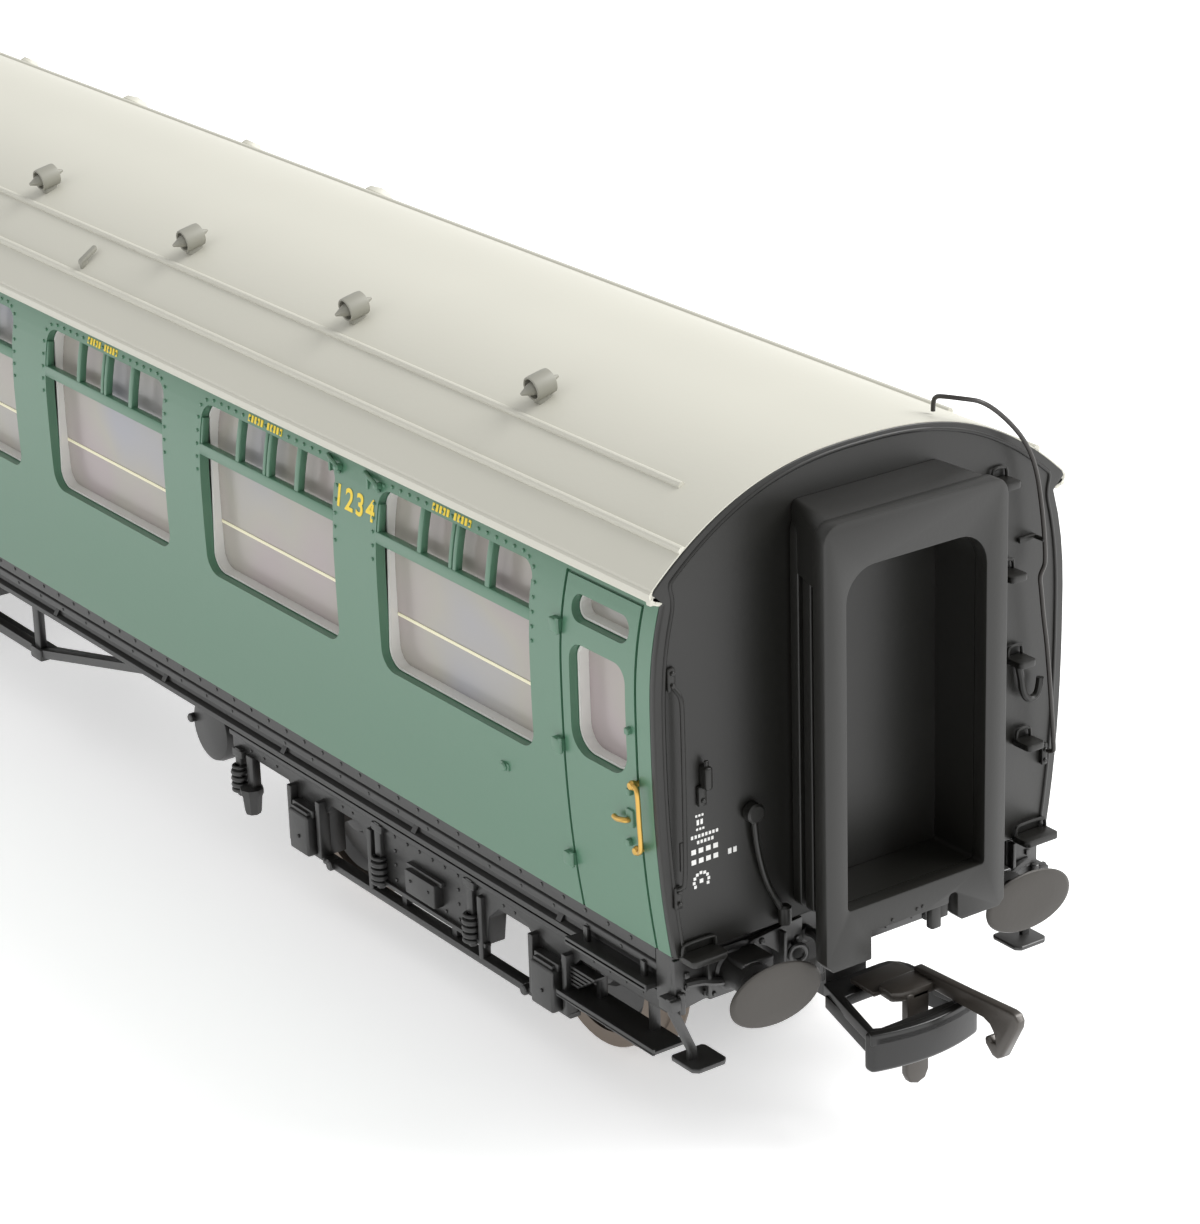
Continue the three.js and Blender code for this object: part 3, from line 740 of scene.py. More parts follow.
plate_bolts = mesh_copies("plate bolts", rivet(0.2, 0.18, "x", 1, 6), [
    (128.2, buffer_y + y, buffer_z + z) for y in (-1.6, 1.6) for z in (-1.4, 1.5)])
housing_box, housing_plate, beam = [
    cut(piece, *[rod("shank bore", "x", (0, y, buffer_z), shank_bore, 126.0, 131.5, steps=20)
                 for y in spots])
    for piece, spots in ((housing_box, [buffer_y]), (housing_plate, [buffer_y]),
                         (beam, [buffer_y, -buffer_y]))]
gusset = plate("gusset", [(5.6, 17.1), (10.2, 16.6), (8.6, 15.7), (7.3, 14.6), (6.4, 13.4),
                          (5.6, 13.2)], "x", 128.2, 128.7,
               edge=0.08)
gusset_web = block("gusset web", (127.9, 129.3), (7.4, 7.7), (13.6, 16.7), edge=0.08)
gusset_bolts = mesh_copies("gusset bolts", rivet(0.26, 0.22, "x", 1, 8),
                           [(128.7, 9.2, 16.35), (128.7, 6.1, 15.6)])
eye = ring((129.2, 6.4, 14.7), 0.62, 0.2, (24, 10), lean=(0, math.pi / 2, 0.3))
eye_stem = rod("eye stem", "x", (0, 6.4, 15.3), 0.22, 127.8, 129.3, edge=0.05, steps=10)
beam_bolts = mesh_copies("beam bolts", rivet(0.22, 0.15, "x", 1, 6),
                         [(127.9, y, 13.5) for y in (2.6, 5.0)])
corner_plate = plate("corner plate",
                     [(13.5, 13.3), (16.3, 12.9), (16.5, 14.6), (16.5, 16.9), (13.5, 17.0)], "x",
                     127.9, 128.35, edge=0.1)
corner_holes = [block("corner stud", (128.2, 128.55), span(y, 0.2), span(z, 0.22), edge=0.06)
                for y, z in ((15.5, 15.6), (15.5, 14.7), (13.9, 13.8))]
corner_rib = block("corner rib", (128.2, 128.9), (13.7, 14.0), (13.6, 16.9), edge=0.06)
buffer_pipe = wire("buffer pipe", [(128.4, 15.6, 14.9), (128.6, 14.4, 14.9), (128.8, 13.6, 14.6),
                                   (128.6, 12.6, 14.3)], 0.3)
strap = plate("strap", [
    (17.2, 14.3), (16.5, 14.3), (16.4, 13.3), (14.9, 9.9), (14.9, 8.9), (15.6, 8.9), (15.6, 9.8),
    (17.1, 13.1),
], "x", 128.25, 128.65, edge=0.08)
strap_clip = block("strap clip", (127.4, 128.9), (16.3, 17.2), (13.3, 14.2), edge=0.12)
strap_pipe = rod("strap pipe", "z", (128.6, 16.1, 0), 0.28, 12.9, 14.5, edge=0.06, steps=12)
tread = plate("tread", [
    (127.1, 13.4), (127.4, 13.2), (129.7, 13.2), (130.1, 13.6), (130.1, 15.8), (129.7, 16.2),
    (127.4, 16.2), (127.1, 16.0),
], "z", 8.75, 9.1, edge=0.12, segments=3)
corner = joined("corner", housing, housing_box, housing_plate, plate_bolts, gusset, gusset_web,
                gusset_bolts, eye, eye_stem,
                beam_bolts, corner_plate, *corner_holes, corner_rib, buffer_pipe, strap,
                strap_clip, strap_pipe, tread)
corners = both_hands("corners", corner)
pipe_parts = [
    wire("hose", [(127.8, -4.9, 15.4), (129.2, -4.9, 15.9), (129.9, -4.9, 15.3),
                  (129.9, -4.9, 13.8), (129.5, -4.9, 12.6)],
         0.36),
    rod("hose collar", "z", (129.5, -4.9, 0), 0.5, 12.2, 12.9, edge=0.1, steps=14),
    wire("heating pipe", [(127.8, 5.0, 15.6), (129.0, 5.0, 15.8), (129.5, 5.0, 15.5),
                          (129.6, 5.0, 15.0)], 0.36),
] + [rod("hose root", "x", (0, y, 15.4), 0.6, 127.8, 128.5, edge=0.12, steps=14)
     for y in (-4.9, 5.0)]
fit_pair(joined("headstock", beam, sole_ends, corners, *pipe_parts), "headstock_full", ends,
         "coach",
         underframe_black, "underframe_black", "headstock_{}")

# --------------------
# Buffers: oval turned steel heads on round shanks, each sprung and free to
# slide in its housing on the headstock.
buffer_steel = finish("buffer steel", (0.052, 0.048, 0.043), 0.42, patch=0.35, sheen_patch=0.25,
                      scale=1400, depth=0.015,
                      metal=0.4)
for hand, y in (("left", buffer_y), ("right", -buffer_y)):
    head = turned("head", [
        (0, 132.75), (0.82, 132.75), (0.97, 132.9), (1.0, 133.08), (0.97, 133.2), (0.9, 133.26),
        (0.5, 133.3), (0, 133.3),
    ], "x", (0, 0, 0), 56)
    for vertex in head.data.vertices:
        vertex.co.y *= 3.95
        vertex.co.z *= 2.25
    shank = turned("shank", [
        (0, 128.7), (0.6, 128.7), (0.6, 132.0), (0.9, 132.4), (1.3, 132.8), (0, 132.8),
    ], "x", (0, 0, 0), 20)
    buffer = mesh_copies("buffer", joined("buffer", head, shank), [(0, y, buffer_z)])
    fit_pair(buffer, f"buffer_head_{hand}", ends, f"buffer_{hand}_" + "{}", buffer_steel,
             "blackened_steel",
             f"buffer_{hand}_" + "{}")


# --------------------
# Interior: a fawn floor tray with seats and tables in facing bays, partitions
# beside the doors, and the ballast strip under it. Seen through the windows.
interior_fawn = finish("interior fawn", (0.46, 0.38, 0.33), 0.55, patch=0.1)
seat_plastic = finish("seat moulding", (0.40, 0.30, 0.28), 0.6, patch=0.15)
ballast_steel = finish("ballast steel", (0.30, 0.30, 0.30), 0.4, patch=0.2, metal=0.9)
repaint("ballast_strip", ballast_steel)
repaint("interior_tray", interior_fawn)

window_centres = (104.7, 79.2, 53.7, 28.2, -8.3, -33.8, -59.3, -84.8)
seat_floor = 19.3
mirror_x = Matrix.Scale(-1, 4, (1, 0, 0))
seat_parts = [
    plate("seat back", [(-12.2, seat_floor), (-12.2, 29.6), (-11.2, 30.0), (-10.2, 29.2),
                        (-9.4, 23.6), (-9.4, seat_floor)],
          "y", -14.6, -3.8, edge=0.35, segments=3),
    block("cushion", (-10.0, -5.2), (-14.6, -3.8), (21.4, 23.7), edge=0.5),
    block("seat base", (-9.8, -6.2), (-14.2, -4.2), (seat_floor, 21.6), edge=0.2),
]
seat = joined("seat", *seat_parts)
facing_seat = copy_of(seat, mirror_x)
table_top = block("table top", (-4.2, 4.2), (-14.9, -4.4), (26.6, 27.15), edge=0.2)
table_leg = block("table leg", (-0.6, 0.6), (-9.0, -8.0), (seat_floor, 26.8), edge=0.15)
bay = joined("bay", seat, facing_seat, table_top, table_leg)
seat_row = mesh_copies("seat row", bay, [(x, 0, 0) for x in window_centres])
fit_pair(seat_row, "seat_row", sides, "coach", seat_plastic, "seat_plastic", "seats_{}")

partition = plate("partition", [
    (-15.8, 19.3), (-3.2, 19.3), (-3.2, 38.5), (3.2, 38.5), (3.2, 19.3), (15.8, 19.3),
    (15.8, 42.8), (8, 46.5), (-8, 46.5),
    (-15.8, 42.8),
], "x", -0.4, 0.4, edge=0.1)
partitions = mesh_copies("partitions", partition, [(x, 0, 0) for x in (118.2, 16.5, 4.6, -97.6)])
fit(partitions, "coach", interior_fawn, "interior_plastic")


# --------------------
# Body sides: thin green mouldings that curve in towards the sill and the
# eaves, with window and door openings and a fine groove round each door.
sill_z, waist_z, eaves_z = 17.4, 35.5, 43.4
waist_y = 18.05


def side_y(z):
    """Half the width of the body at a height, in millimetres."""
    below = 1.28 * max(0, (waist_z - z) / (waist_z - sill_z)) ** 2.5
    above = 1.05 * max(0, (z - waist_z) / (eaves_z - waist_z)) ** 2.3
    return waist_y - below - above


def on_side(z, out, into=0.2):
    """From just outside the face of the side to just inside it."""
    return -side_y(z) - out, -side_y(z) + into


def side_sheet(name, x, z, proud, depth, rows=None):
    """A strip of the side, curved with it. Proud is how far it stands out."""
    rows = rows or max(1, round((z[1] - z[0]) / 0.9))
    bpy.ops.object.select_all(action="DESELECT")
    bpy.ops.mesh.primitive_grid_add(x_subdivisions=1, y_subdivisions=rows, size=2)
    piece = bpy.context.object
    piece.name = piece.data.name = name
    for vertex in piece.data.vertices:
        across = x[0] + (vertex.co.x + 1) / 2 * (x[1] - x[0])
        height = z[0] + (vertex.co.y + 1) / 2 * (z[1] - z[0])
        vertex.co = Vector((across, -side_y(height) - proud, height)) * mm
    wall = piece.modifiers.new("wall", "SOLIDIFY")
    wall.thickness = depth * mm
    wall.offset = -1
    wall.use_even_offset = True
    select_only(piece)
    bpy.ops.object.modifier_apply(modifier=wall.name)
    return piece


corner_steps = 7


def rounded(x, z, low_radius, high_radius):
    """A rectangle with round corners, as a loop of points."""
    loop = []
    for cx, cz, radius, start in (
        (x[1] - low_radius, z[0] + low_radius, low_radius, -90),
        (x[1] - high_radius, z[1] - high_radius, high_radius, 0),
        (x[0] + high_radius, z[1] - high_radius, high_radius, 90),
        (x[0] + low_radius, z[0] + low_radius, low_radius, 180),
    ):
        for step in range(corner_steps + 1):
            angle = math.radians(start + 90 * step / corner_steps)
            loop.append((cx + radius * math.cos(angle), cz + radius * math.sin(angle)))
    return loop


coach_green = finish("coach green", (0.062, 0.168, 0.100), 0.36, patch=0.06, sheen_patch=0.06,
                     scale=1800, depth=0.004,
                     shine=0.95)
window_z = (28.25, 42.2)
half_window = 9.8
door_centres = (122.5, 10.5, -122.5)
lavatory_x = (-110.7, -102.3)
openings = []
for x in window_centres:
    openings.append(((x - half_window, x + half_window), window_z, 1.5, 1.3))
for x in door_centres:
    openings.append(((x - 3.25, x + 3.2), (30.0, 38.15), 1.8, 1.3))
    openings.append(((x - 3.25, x + 3.3), (39.65, 41.6), 0.95, 0.95))
openings.append((lavatory_x, (31.0, 42.2), 1.5, 1.3))

skin_depth = 0.8
side_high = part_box("body_side_near")[1][0] / mm
side_skin = side_sheet("side skin", (-side_high - 0.65, side_high + 0.65),
                       (sill_z, eaves_z + 0.15), 0, skin_depth,
                       rows=30)
cutters = [plate("opening", rounded(x, z, low, high), "y", -20, -14) for x, z, low,
           high in openings]
groove_half, groove_proud, groove_depth, groove_top = 0.13, 0.4, 0.62, 42.95
for x in door_centres:
    door_edges = (x - 4.25, x + 4.35)
    for edge_x in door_edges:
        cutters.append(side_sheet("groove", span(edge_x, groove_half), (17.0, groove_top),
                                  groove_proud,
                                  groove_depth))
    cutters.append(side_sheet("groove", door_edges, (42.75, groove_top), groove_proud,
                              groove_depth,
                              rows=1))
side_skin = cut(side_skin, *cutters)
fit_pair(side_skin, "side_panel", sides, "coach", coach_green, "coach_green", "body_side_{}",
         smooth=30)

# --------------------
# Side fittings: rivets round the ventilators, door hinges, stops and locks,
# and lamp brackets, all moulded with the side in the same green.
lock_z = 25.7
rivet_spots = []
for x in window_centres:
    for step in range(16):
        rivet_spots.append((x - 8.3 + step * 1.11, 42.62))
    rivet_spots += [(x - 9.35, 42.45), (x - 10.05, 41.9), (x + 9.05, 42.4), (x + 9.75, 41.9)]
    for z in (40.9, 39.85, 38.8, 37.75, 36.7):
        rivet_spots += [(x - 10.25, z), (x + 10.1, z)]
rivets = mesh_copies("rivets", rivet(0.16, 0.14), [(x, -side_y(z), z) for x, z in rivet_spots])
fittings = [rivets]
for x in door_centres:
    for z in (38.9, 30.05, 21.2):
        fittings.append(block("hinge", (x - 5.15, x - 4.2), on_side(z, 0.5), span(z, 0.5),
                              edge=0.14))
        fittings.append(rod("hinge pin", "z", (x - 4.3, -side_y(z) - 0.3, 0), 0.17, z - 0.6,
                            z + 0.6, edge=0.05, steps=8))
    for dx, z in ((3.6, 33.8), (3.5, 29.3), (3.0, 25.3)):
        fittings.append(block("stop", span(x + dx, 0.22), on_side(z, 0.35),
                              span(z, 0.25), edge=0.1))
    fittings.append(block("lever plate", (x + 2.9, x + 3.7), on_side(27, 0.22), (26.6, 27.9),
                          edge=0.1))
    lock_x = x - 12.0 if x > -100 else x + 12.0
    fittings += [
        rod("lock", "y", (lock_x, 0, lock_z), 0.34, *on_side(lock_z, 0.32), edge=0.1, steps=14),
        block("lock lug", span(lock_x, 0.5), on_side(lock_z, 0.12, 0.1), (25.45, 26.0), edge=0.05),
    ]
for x in (92.4, -46.0):
    for pipe_x, reach in ((x - 2.9, -1.9), (x + 2.5, -2.2)):
        z = 42.4
        y = -side_y(z)
        fittings += [
            wire("lamp pipe", [(pipe_x + reach, y + 0.1, 42.75),
                               (pipe_x + reach * 0.6, y - 0.3, 42.75),
                               (pipe_x - 0.3, y - 0.35, 42.6), (pipe_x, y - 0.4, 42.35),
                               (pipe_x, y - 0.2, 41.9)], 0.17),
            rod("lamp knob", "y", (pipe_x, 0, 42.35), 0.28, y - 0.6, y + 0.1, edge=0.14, steps=12),
            block("lamp bracket", span(pipe_x + reach * 0.7, 0.12), (y - 0.25, y + 0.1),
                  (41.7, 42.7), edge=0.05),
        ]
fit_pair(joined("side fittings", *fittings), "side_fittings", sides, "coach", coach_green,
         "coach_green")

# --------------------
# Ventilator frames: a transom and upright bars across the top of each window,
# moulded in green and set just behind the face of the side.
bars = []
for x in window_centres:
    left, right = x - half_window - 0.05, x + half_window + 0.05
    bars.append(side_sheet("transom", (left, right), (38.05, 38.95), 0.02, 0.7, rows=2))
    for low, high in ((-4.5, -3.95), (-0.45, -0.02), (0.1, 0.52), (4.15, 4.75)):
        bars.append(side_sheet("upright", (x + low, x + high), (38.6, 42.25), -0.03, 0.65))
    for low in (left, right - 0.3):
        bars.append(side_sheet("side frame", (low, low + 0.3), (38.7, 41.0), -0.05, 0.6))
for bar in bars:
    bevel(bar, 0.1, 2)
fit_pair(joined("bars", *bars), "ventilator_frames", sides, "coach", coach_green, "coach_green")

# --------------------
# Brass furniture: a bent wire grab rail between two turned knobs, and a lever
# handle, pushed in beside each door.
brass = finish("brass", (0.56, 0.35, 0.09), 0.30, patch=0.15, sheen_patch=0.1, scale=3000,
               depth=0.003, metal=0.9)
furniture = []
for x in door_centres:
    rail_x, knob_x = x + 5.05, x + 4.25
    furniture.append(wire("grab rail", [
        (knob_x, -side_y(30.1), 30.1), (knob_x, -side_y(30.1) - 0.45, 30.15),
        (rail_x - 0.2, -side_y(30) - 0.55, 30.2),
        (rail_x, -side_y(29) - 0.6, 29.6), (rail_x, -side_y(27.5) - 0.6, 27.5),
        (rail_x, -side_y(26) - 0.6, 26.0),
        (rail_x - 0.2, -side_y(25.4) - 0.55, 25.25), (knob_x, -side_y(25.3) - 0.45, 25.2),
        (knob_x, -side_y(25.3), 25.2),
    ], 0.18, sides=4))
    for z in (30.1, 25.2):
        furniture.append(turned("knob", [
            (0, -0.72), (0.24, -0.68), (0.36, -0.45), (0.32, -0.2), (0.2, -0.1), (0.24, 0.2),
            (0, 0.2)],
            "y", (knob_x, -side_y(z), z), 16))
    furniture.append(wire("lever", [
        (x + 3.3, -side_y(27.1), 27.1), (x + 3.3, -side_y(27.1) - 0.45, 27.15),
        (x + 2.9, -side_y(27.1) - 0.55, 27.1),
        (x + 2.2, -side_y(26.9) - 0.5, 26.9), (x + 1.8, -side_y(26.9) - 0.4, 26.95)], 0.2,
        sides=3))
fit_pair(joined("brass furniture", *furniture), "door_furniture", sides, "coach", brass,
         "coach_green")


# --------------------
# Glazing: clear strips behind the sides, with pane edges round each opening
# that are coloured pale as a painted highlight of light caught in the pane
# edges, and a cream rail across the inside of the panes.
clear_plastic = bpy.data.materials.new("clear plastic")
clear_plastic.use_nodes = True
glass = clear_plastic.node_tree.nodes["Principled BSDF"]
glass.inputs["Roughness"].default_value = 0.22
glass.inputs["Alpha"].default_value = 0.965
glass_place = clear_plastic.node_tree.nodes.new("ShaderNodeTexCoord")
stress = clear_plastic.node_tree.nodes.new("ShaderNodeTexNoise")
stress.inputs["Scale"].default_value = 90
stress.inputs["Detail"].default_value = 1
tints = clear_plastic.node_tree.nodes.new("ShaderNodeValToRGB")
tints.color_ramp.elements[0].color = (0.37, 0.32, 0.32, 1)
tints.color_ramp.elements[0].position = 0.30
tints.color_ramp.elements[1].color = (0.33, 0.33, 0.36, 1)
tints.color_ramp.elements[1].position = 0.70
middle_tint = tints.color_ramp.elements.new(0.5)
middle_tint.color = (0.37, 0.35, 0.31, 1)
for source, target in ((glass_place.outputs["Object"], stress.inputs["Vector"]),
                       (stress.outputs["Fac"], tints.inputs["Fac"]),
                       (tints.outputs["Color"], glass.inputs["Base Color"])):
    clear_plastic.node_tree.links.new(source, target)

glass_depth = 1.5
glazing = side_sheet("glazing", (-127.3, 127.3), (27.4, 42.9), -glass_depth, 0.25, rows=18)
fit_pair(glazing, "window_strip", sides, "coach", clear_plastic, "clear_plastic", "glazing_{}")

# The pale colour of the pane edges is a painted highlight: it stands in for the bright light
# caught in the edges of the clear panes, not a colour of the plastic.
pane_edge_highlight = finish("polished pane edge", (0.74, 0.73, 0.70), 0.12, patch=0.35, sheen_patch=0.1,
                   scale=700, depth=0.008,
                   coat=0.6)


def pane_rim(x, z, low, high):
    """The upstanding edge of a pane, round one opening and as deep as the side is thick."""
    gap = 0.07
    outline = rounded((x[0] + gap, x[1] - gap), (z[0] + gap, z[1] - gap), low - gap, high - gap)
    bpy.ops.object.select_all(action="DESELECT")
    bpy.ops.mesh.primitive_circle_add(vertices=len(outline), radius=mm, fill_type="NGON")
    rim = bpy.context.object
    for vertex, (along, up) in zip(rim.data.vertices, outline):
        vertex.co = Vector((along, 0, up)) * mm
    edit(rim)
    bpy.ops.mesh.inset(thickness=0.16 * mm, depth=0)
    bpy.ops.mesh.delete(type="ONLY_FACE")
    bpy.ops.mesh.select_all(action="SELECT")
    bpy.ops.mesh.extrude_region_move(TRANSFORM_OT_translate={"value": (0,
            (glass_depth - skin_depth + 0.25) * mm, 0)})
    bpy.ops.mesh.select_all(action="SELECT")
    bpy.ops.mesh.normals_make_consistent(inside=False)
    leave_edit()
    for vertex in rim.data.vertices:
        vertex.co.y += (skin_depth - 0.15 - side_y(vertex.co.z / mm)) * mm
    return rim


rims = [pane_rim(*opening) for opening in openings]
fit_pair(joined("pane rims", *rims), "pane_rims", sides, "coach", pane_edge_highlight, "clear_plastic")

cream = finish("cream rail", (0.80, 0.76, 0.55), 0.5)
rails = [side_sheet("rail", (x - half_window + 0.3, x + half_window - 0.3), (32.15, 32.4),
                    0.06 - glass_depth, 0.12, rows=1)
         for x in window_centres]
fit_pair(joined("rails", *rails), "window_rails", sides, "coach", cream, "interior_plastic")


# --------------------
# Gold markings: a generic number and rows of plain bars, printed straight on
# to the green of the sides.
gold_print = finish("gold print", (0.82, 0.60, 0.04), 0.5)


def printed_text(words, height, x, z):
    """Flat figures laid on the curve of the side."""
    text = bpy.data.curves.new(words, "FONT")
    text.body = words
    text.size = height * mm
    text.space_character = 1.25
    text.offset = 0.05 * mm
    piece = bpy.data.objects.new("figures", text)
    bpy.context.collection.objects.link(piece)
    select_only(piece)
    bpy.ops.object.convert(target="MESH")
    piece = bpy.context.object
    for vertex in piece.data.vertices:
        up = z + vertex.co.y / mm
        vertex.co = Vector((x + vertex.co.x / mm, -side_y(up) - 0.03, up)) * mm
    return piece


number = printed_text("1234", 2.3, 89.15, 39.5)
labels = [number]
for x in window_centres:
    for step in (0, 1, 2, 3, 4, 6, 7, 8, 9, 10):
        start = x - 3.0 + step * 0.46
        labels.append(side_sheet("label", (start, start + 0.26), (42.42, 42.94), 0.05, 0.05,
                                 rows=1))
fit_pair(joined("gold markings", *labels), "gold_markings", sides, "coach", gold_print,
         "coach_green")


# --------------------
# Roof: one grey moulding, arched and turned down to the gutters, with raised
# rain strips and torpedo ventilators pushed into its near slope.
crown_z = 51.4
shoulder_y = 17.9


def roof_z(y):
    return crown_z - 6.75 * (abs(y) / shoulder_y) ** 2.5


roof_grey = finish("roof grey", (0.56, 0.55, 0.48), 0.5, patch=0.05, sheen_patch=0.08, scale=2200,
                   depth=0.006)
roof_steps = 72
stations = [shoulder_y * math.sin((step / roof_steps - 0.5) * math.pi)
            for step in range(roof_steps + 1)]
roof_outline = [(-17.05, 43.55), (-17.6, 43.75), (-18.14, 44.0), (-18.14, 44.35), (-17.95, 44.5)]
roof_outline += [(y, roof_z(y)) for y in stations]
roof_outline += [(17.95, 44.5), (18.14, 44.35), (18.14, 44.0), (17.6, 43.75), (17.05, 43.55)]
roof_outline += [(y * 0.93, roof_z(y) - 1.2) for y in reversed(stations[6:-6])]
roof_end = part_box("roof")[1][0] / mm + 1.1
roof_shell = plate("roof shell", roof_outline, "x", -roof_end, roof_end)
rib = wire("rib", [(-roof_end, -15.4, roof_z(15.4)), (roof_end, -15.4, roof_z(15.4))], 0.3,
           smooth=False, sides=4)
upper_strip = wire("upper strip", [(-124, -11.7, roof_z(11.7)), (124, -11.7, roof_z(11.7))], 0.27,
                   smooth=False, sides=4)
strips = both_hands("strips", joined("strips", rib, upper_strip))
gutter = plate("gutter", [
    (-17.35, 43.35), (-17.75, 43.5), (-17.9, 43.8), (-17.9, 44.1), (-17.0, 44.1), (-17.0, 43.5),
], "x", -roof_end, roof_end, edge=0.06)
gutters = both_hands("gutters", gutter)

shell_ring = turned("shell ring", [
    (0.84, -0.9), (0.92, -0.98), (1.02, -0.9), (1.05, -0.6), (1.05, 0.6), (1.02, 0.9),
    (0.92, 0.98), (0.84, 0.9),
], "y", (0, 0, 0), 28)
spindle = turned("spindle", [
    (0, -1.95), (0.12, -1.9), (0.5, -1.0), (0.58, -0.6), (0.58, 0.5), (0.42, 0.9), (0.1, 1.75),
    (0, 1.8)], "y", (0, 0, 0), 20)
fins = [block("fin", (-0.95, 0.95), (-0.5, 0.5), (-0.08, 0.08)),
        block("fin", (-0.08, 0.08), (-0.5, 0.5), (-0.95, 0.95))]
saddle = block("saddle", (-0.45, 0.45), (-0.7, 0.7), (-1.9, -0.9), edge=0.15)
vent = joined("vent", shell_ring, spindle, *fins, saddle)
vent_y = -10.0
vent.data.transform(Matrix.Rotation(math.radians(12), 4, "X") @ Matrix.Scale(0.9, 4))
vents = mesh_copies("vents", vent, [
    (105.2 - step * 24.6, vent_y, roof_z(vent_y) + 1.2) for step in range(9)])
vent_grey = finish("vent grey", (0.27, 0.265, 0.225), 0.45, patch=0.12, scale=2600, depth=0.006)
low_vents = []
for step in range(8):
    size = 1.0 if step % 2 == 0 else 0.75
    dome = turned("low vent", [(0, -0.5), (1.25 * size, -0.5), (1.25 * size, 0.25),
                               (0.95 * size, 0.6), (0, 0.8 * size)],
                  "z", (0, 0, 0), 20)
    dome.data.transform(Matrix.Rotation(math.radians(-31), 4, "X"))
    dome.data.transform(Matrix.Translation(Vector((46.8 - step * 21.4, 13.5,
                                                   roof_z(13.5) + 0.1)) * mm))
    low_vents.append(dome)
lamp_bar = block("lamp bar", (45.6, 46.25), (-15.0, -13.4), (-0.22, 0.22), edge=0.15)
for vertex in lamp_bar.data.vertices:
    vertex.co.z += (roof_z(vertex.co.y / mm) + 0.55) * mm
lamp_foot = block("lamp foot", (45.7, 46.2), (-14.9, -14.3),
                  (roof_z(14.6) - 0.3, roof_z(14.6) + 0.5), edge=0.08)
fit(joined("roof_vents", vents, lamp_bar, lamp_foot), "coach", vent_grey, "roof_grey")
stops = both_hands("gutter stops", joined("gutter stops", *[
    block("gutter stop", x, (-18.1, -17.1), (43.5, 44.4), edge=0.1)
    for x in ((-roof_end, 0.5 - roof_end), (roof_end - 0.5, roof_end))]))
fit(joined("roof_full", roof_shell, strips, gutters, stops, *low_vents), "coach", roof_grey,
    "roof_grey", "roof", smooth=28)


# --------------------
# Ends: black sheets that fill the body's outline, each one moulding with a
# raised rib under the roof, steps, a grab rail, a lamp iron and a jumper cable.
end_black = finish("end black", (0.008, 0.0078, 0.0064), 0.40, patch=0.2, sheen_patch=0.12,
                   depth=0.006, dust=0.02)
levels = [sill_z + (eaves_z - sill_z) * step / 14 for step in range(15)]
arch = [(y * 0.997, roof_z(y) - 0.07) for y in stations[2:-2]]
end_outline = [(-side_y(z), z) for z in levels] + [(-17.95, 44.3)] + arch + [(17.95, 44.3)]
end_outline += [(side_y(z), z) for z in reversed(levels)]
end_x = 129.0
sheet = plate("sheet", end_outline, "x", end_x - 0.6, end_x, edge=0.12, segments=3)
rim_route = [(end_x - 0.02, -side_y(z) + 0.75, z) for z in levels]
rim_route += [(end_x - 0.02, y * 0.962, roof_z(y) - 0.5) for y in stations[6:-6:2]]
rim_route += [(end_x - 0.02, side_y(z) - 0.75, z) for z in reversed(levels)]
edge_rib = wire("edge rib", rim_route, 0.15, sides=3)


def off_end(reach):
    return end_x, end_x + reach


def end_stud(y, z, radius, low, high, edge=0.05, steps=8):
    """A round stud that stands off the end between two distances from it."""
    return rod("stud", "x", (0, y, z), radius, end_x + low, end_x + high, edge=edge, steps=steps)


def end_wire(route, radius, sides=2):
    """A wire whose points begin with their distance from the end."""
    points = [(end_x + out, y, z) for out, y, z in route]
    return wire("end wire", points, radius, sides=sides)


def shelf(y, z, width=1.6, reach=1.8):
    """One end step: a thick tread with a small wire loop standing behind it."""
    tread = plate("tread", [
        (end_x, y - width / 2), (end_x + reach - 0.25, y - width / 2),
        (end_x + reach, y - width / 2 + 0.25),
        (end_x + reach, y + width / 2 - 0.25), (end_x + reach - 0.25, y + width / 2),
        (end_x, y + width / 2),
    ], "z", z - 0.28, z + 0.22, edge=0.1)
    half = width / 2 - 0.15
    loop = end_wire([
        (0.25, y - half, z), (0.25, y - half, z + 0.75), (0.25, y - half + 0.2, z + 0.95),
        (0.25, y + half - 0.2, z + 0.95), (0.25, y + half, z + 0.75), (0.25, y + half, z)], 0.13)
    return [tread, loop]


end_parts = [sheet, edge_rib]
for y, z in ((11.7, 45.4), (12.4, 38.4), (13.3, 31.7), (14.2, 25.1)):
    end_parts += shelf(y, z)
end_parts += shelf(15.0, 17.5, 3.1, 1.7) + shelf(-15.0, 17.5, 3.1, 1.7)
# Vertical grab rail by the near corner, on two lugs.
end_parts.append(end_wire([
    (0, -16.7, 37.6), (0.4, -16.65, 37.5), (0.8, -16.4, 36.9), (0.8, -16.35, 35.8),
    (0.8, -16.35, 29.0), (0.8, -16.4, 23.6), (0.7, -16.5, 22.9), (0, -16.7, 22.7)], 0.17, sides=3))
for y, z in ((-16.75, 38.1), (-16.6, 22.1)):
    end_parts.append(block("lug", off_end(0.3), span(y, 0.32), span(z, 0.85), edge=0.13))
    for dz in (-0.4, 0.5):
        end_parts.append(end_stud(y, z + dz, 0.17, 0.25, 0.5))
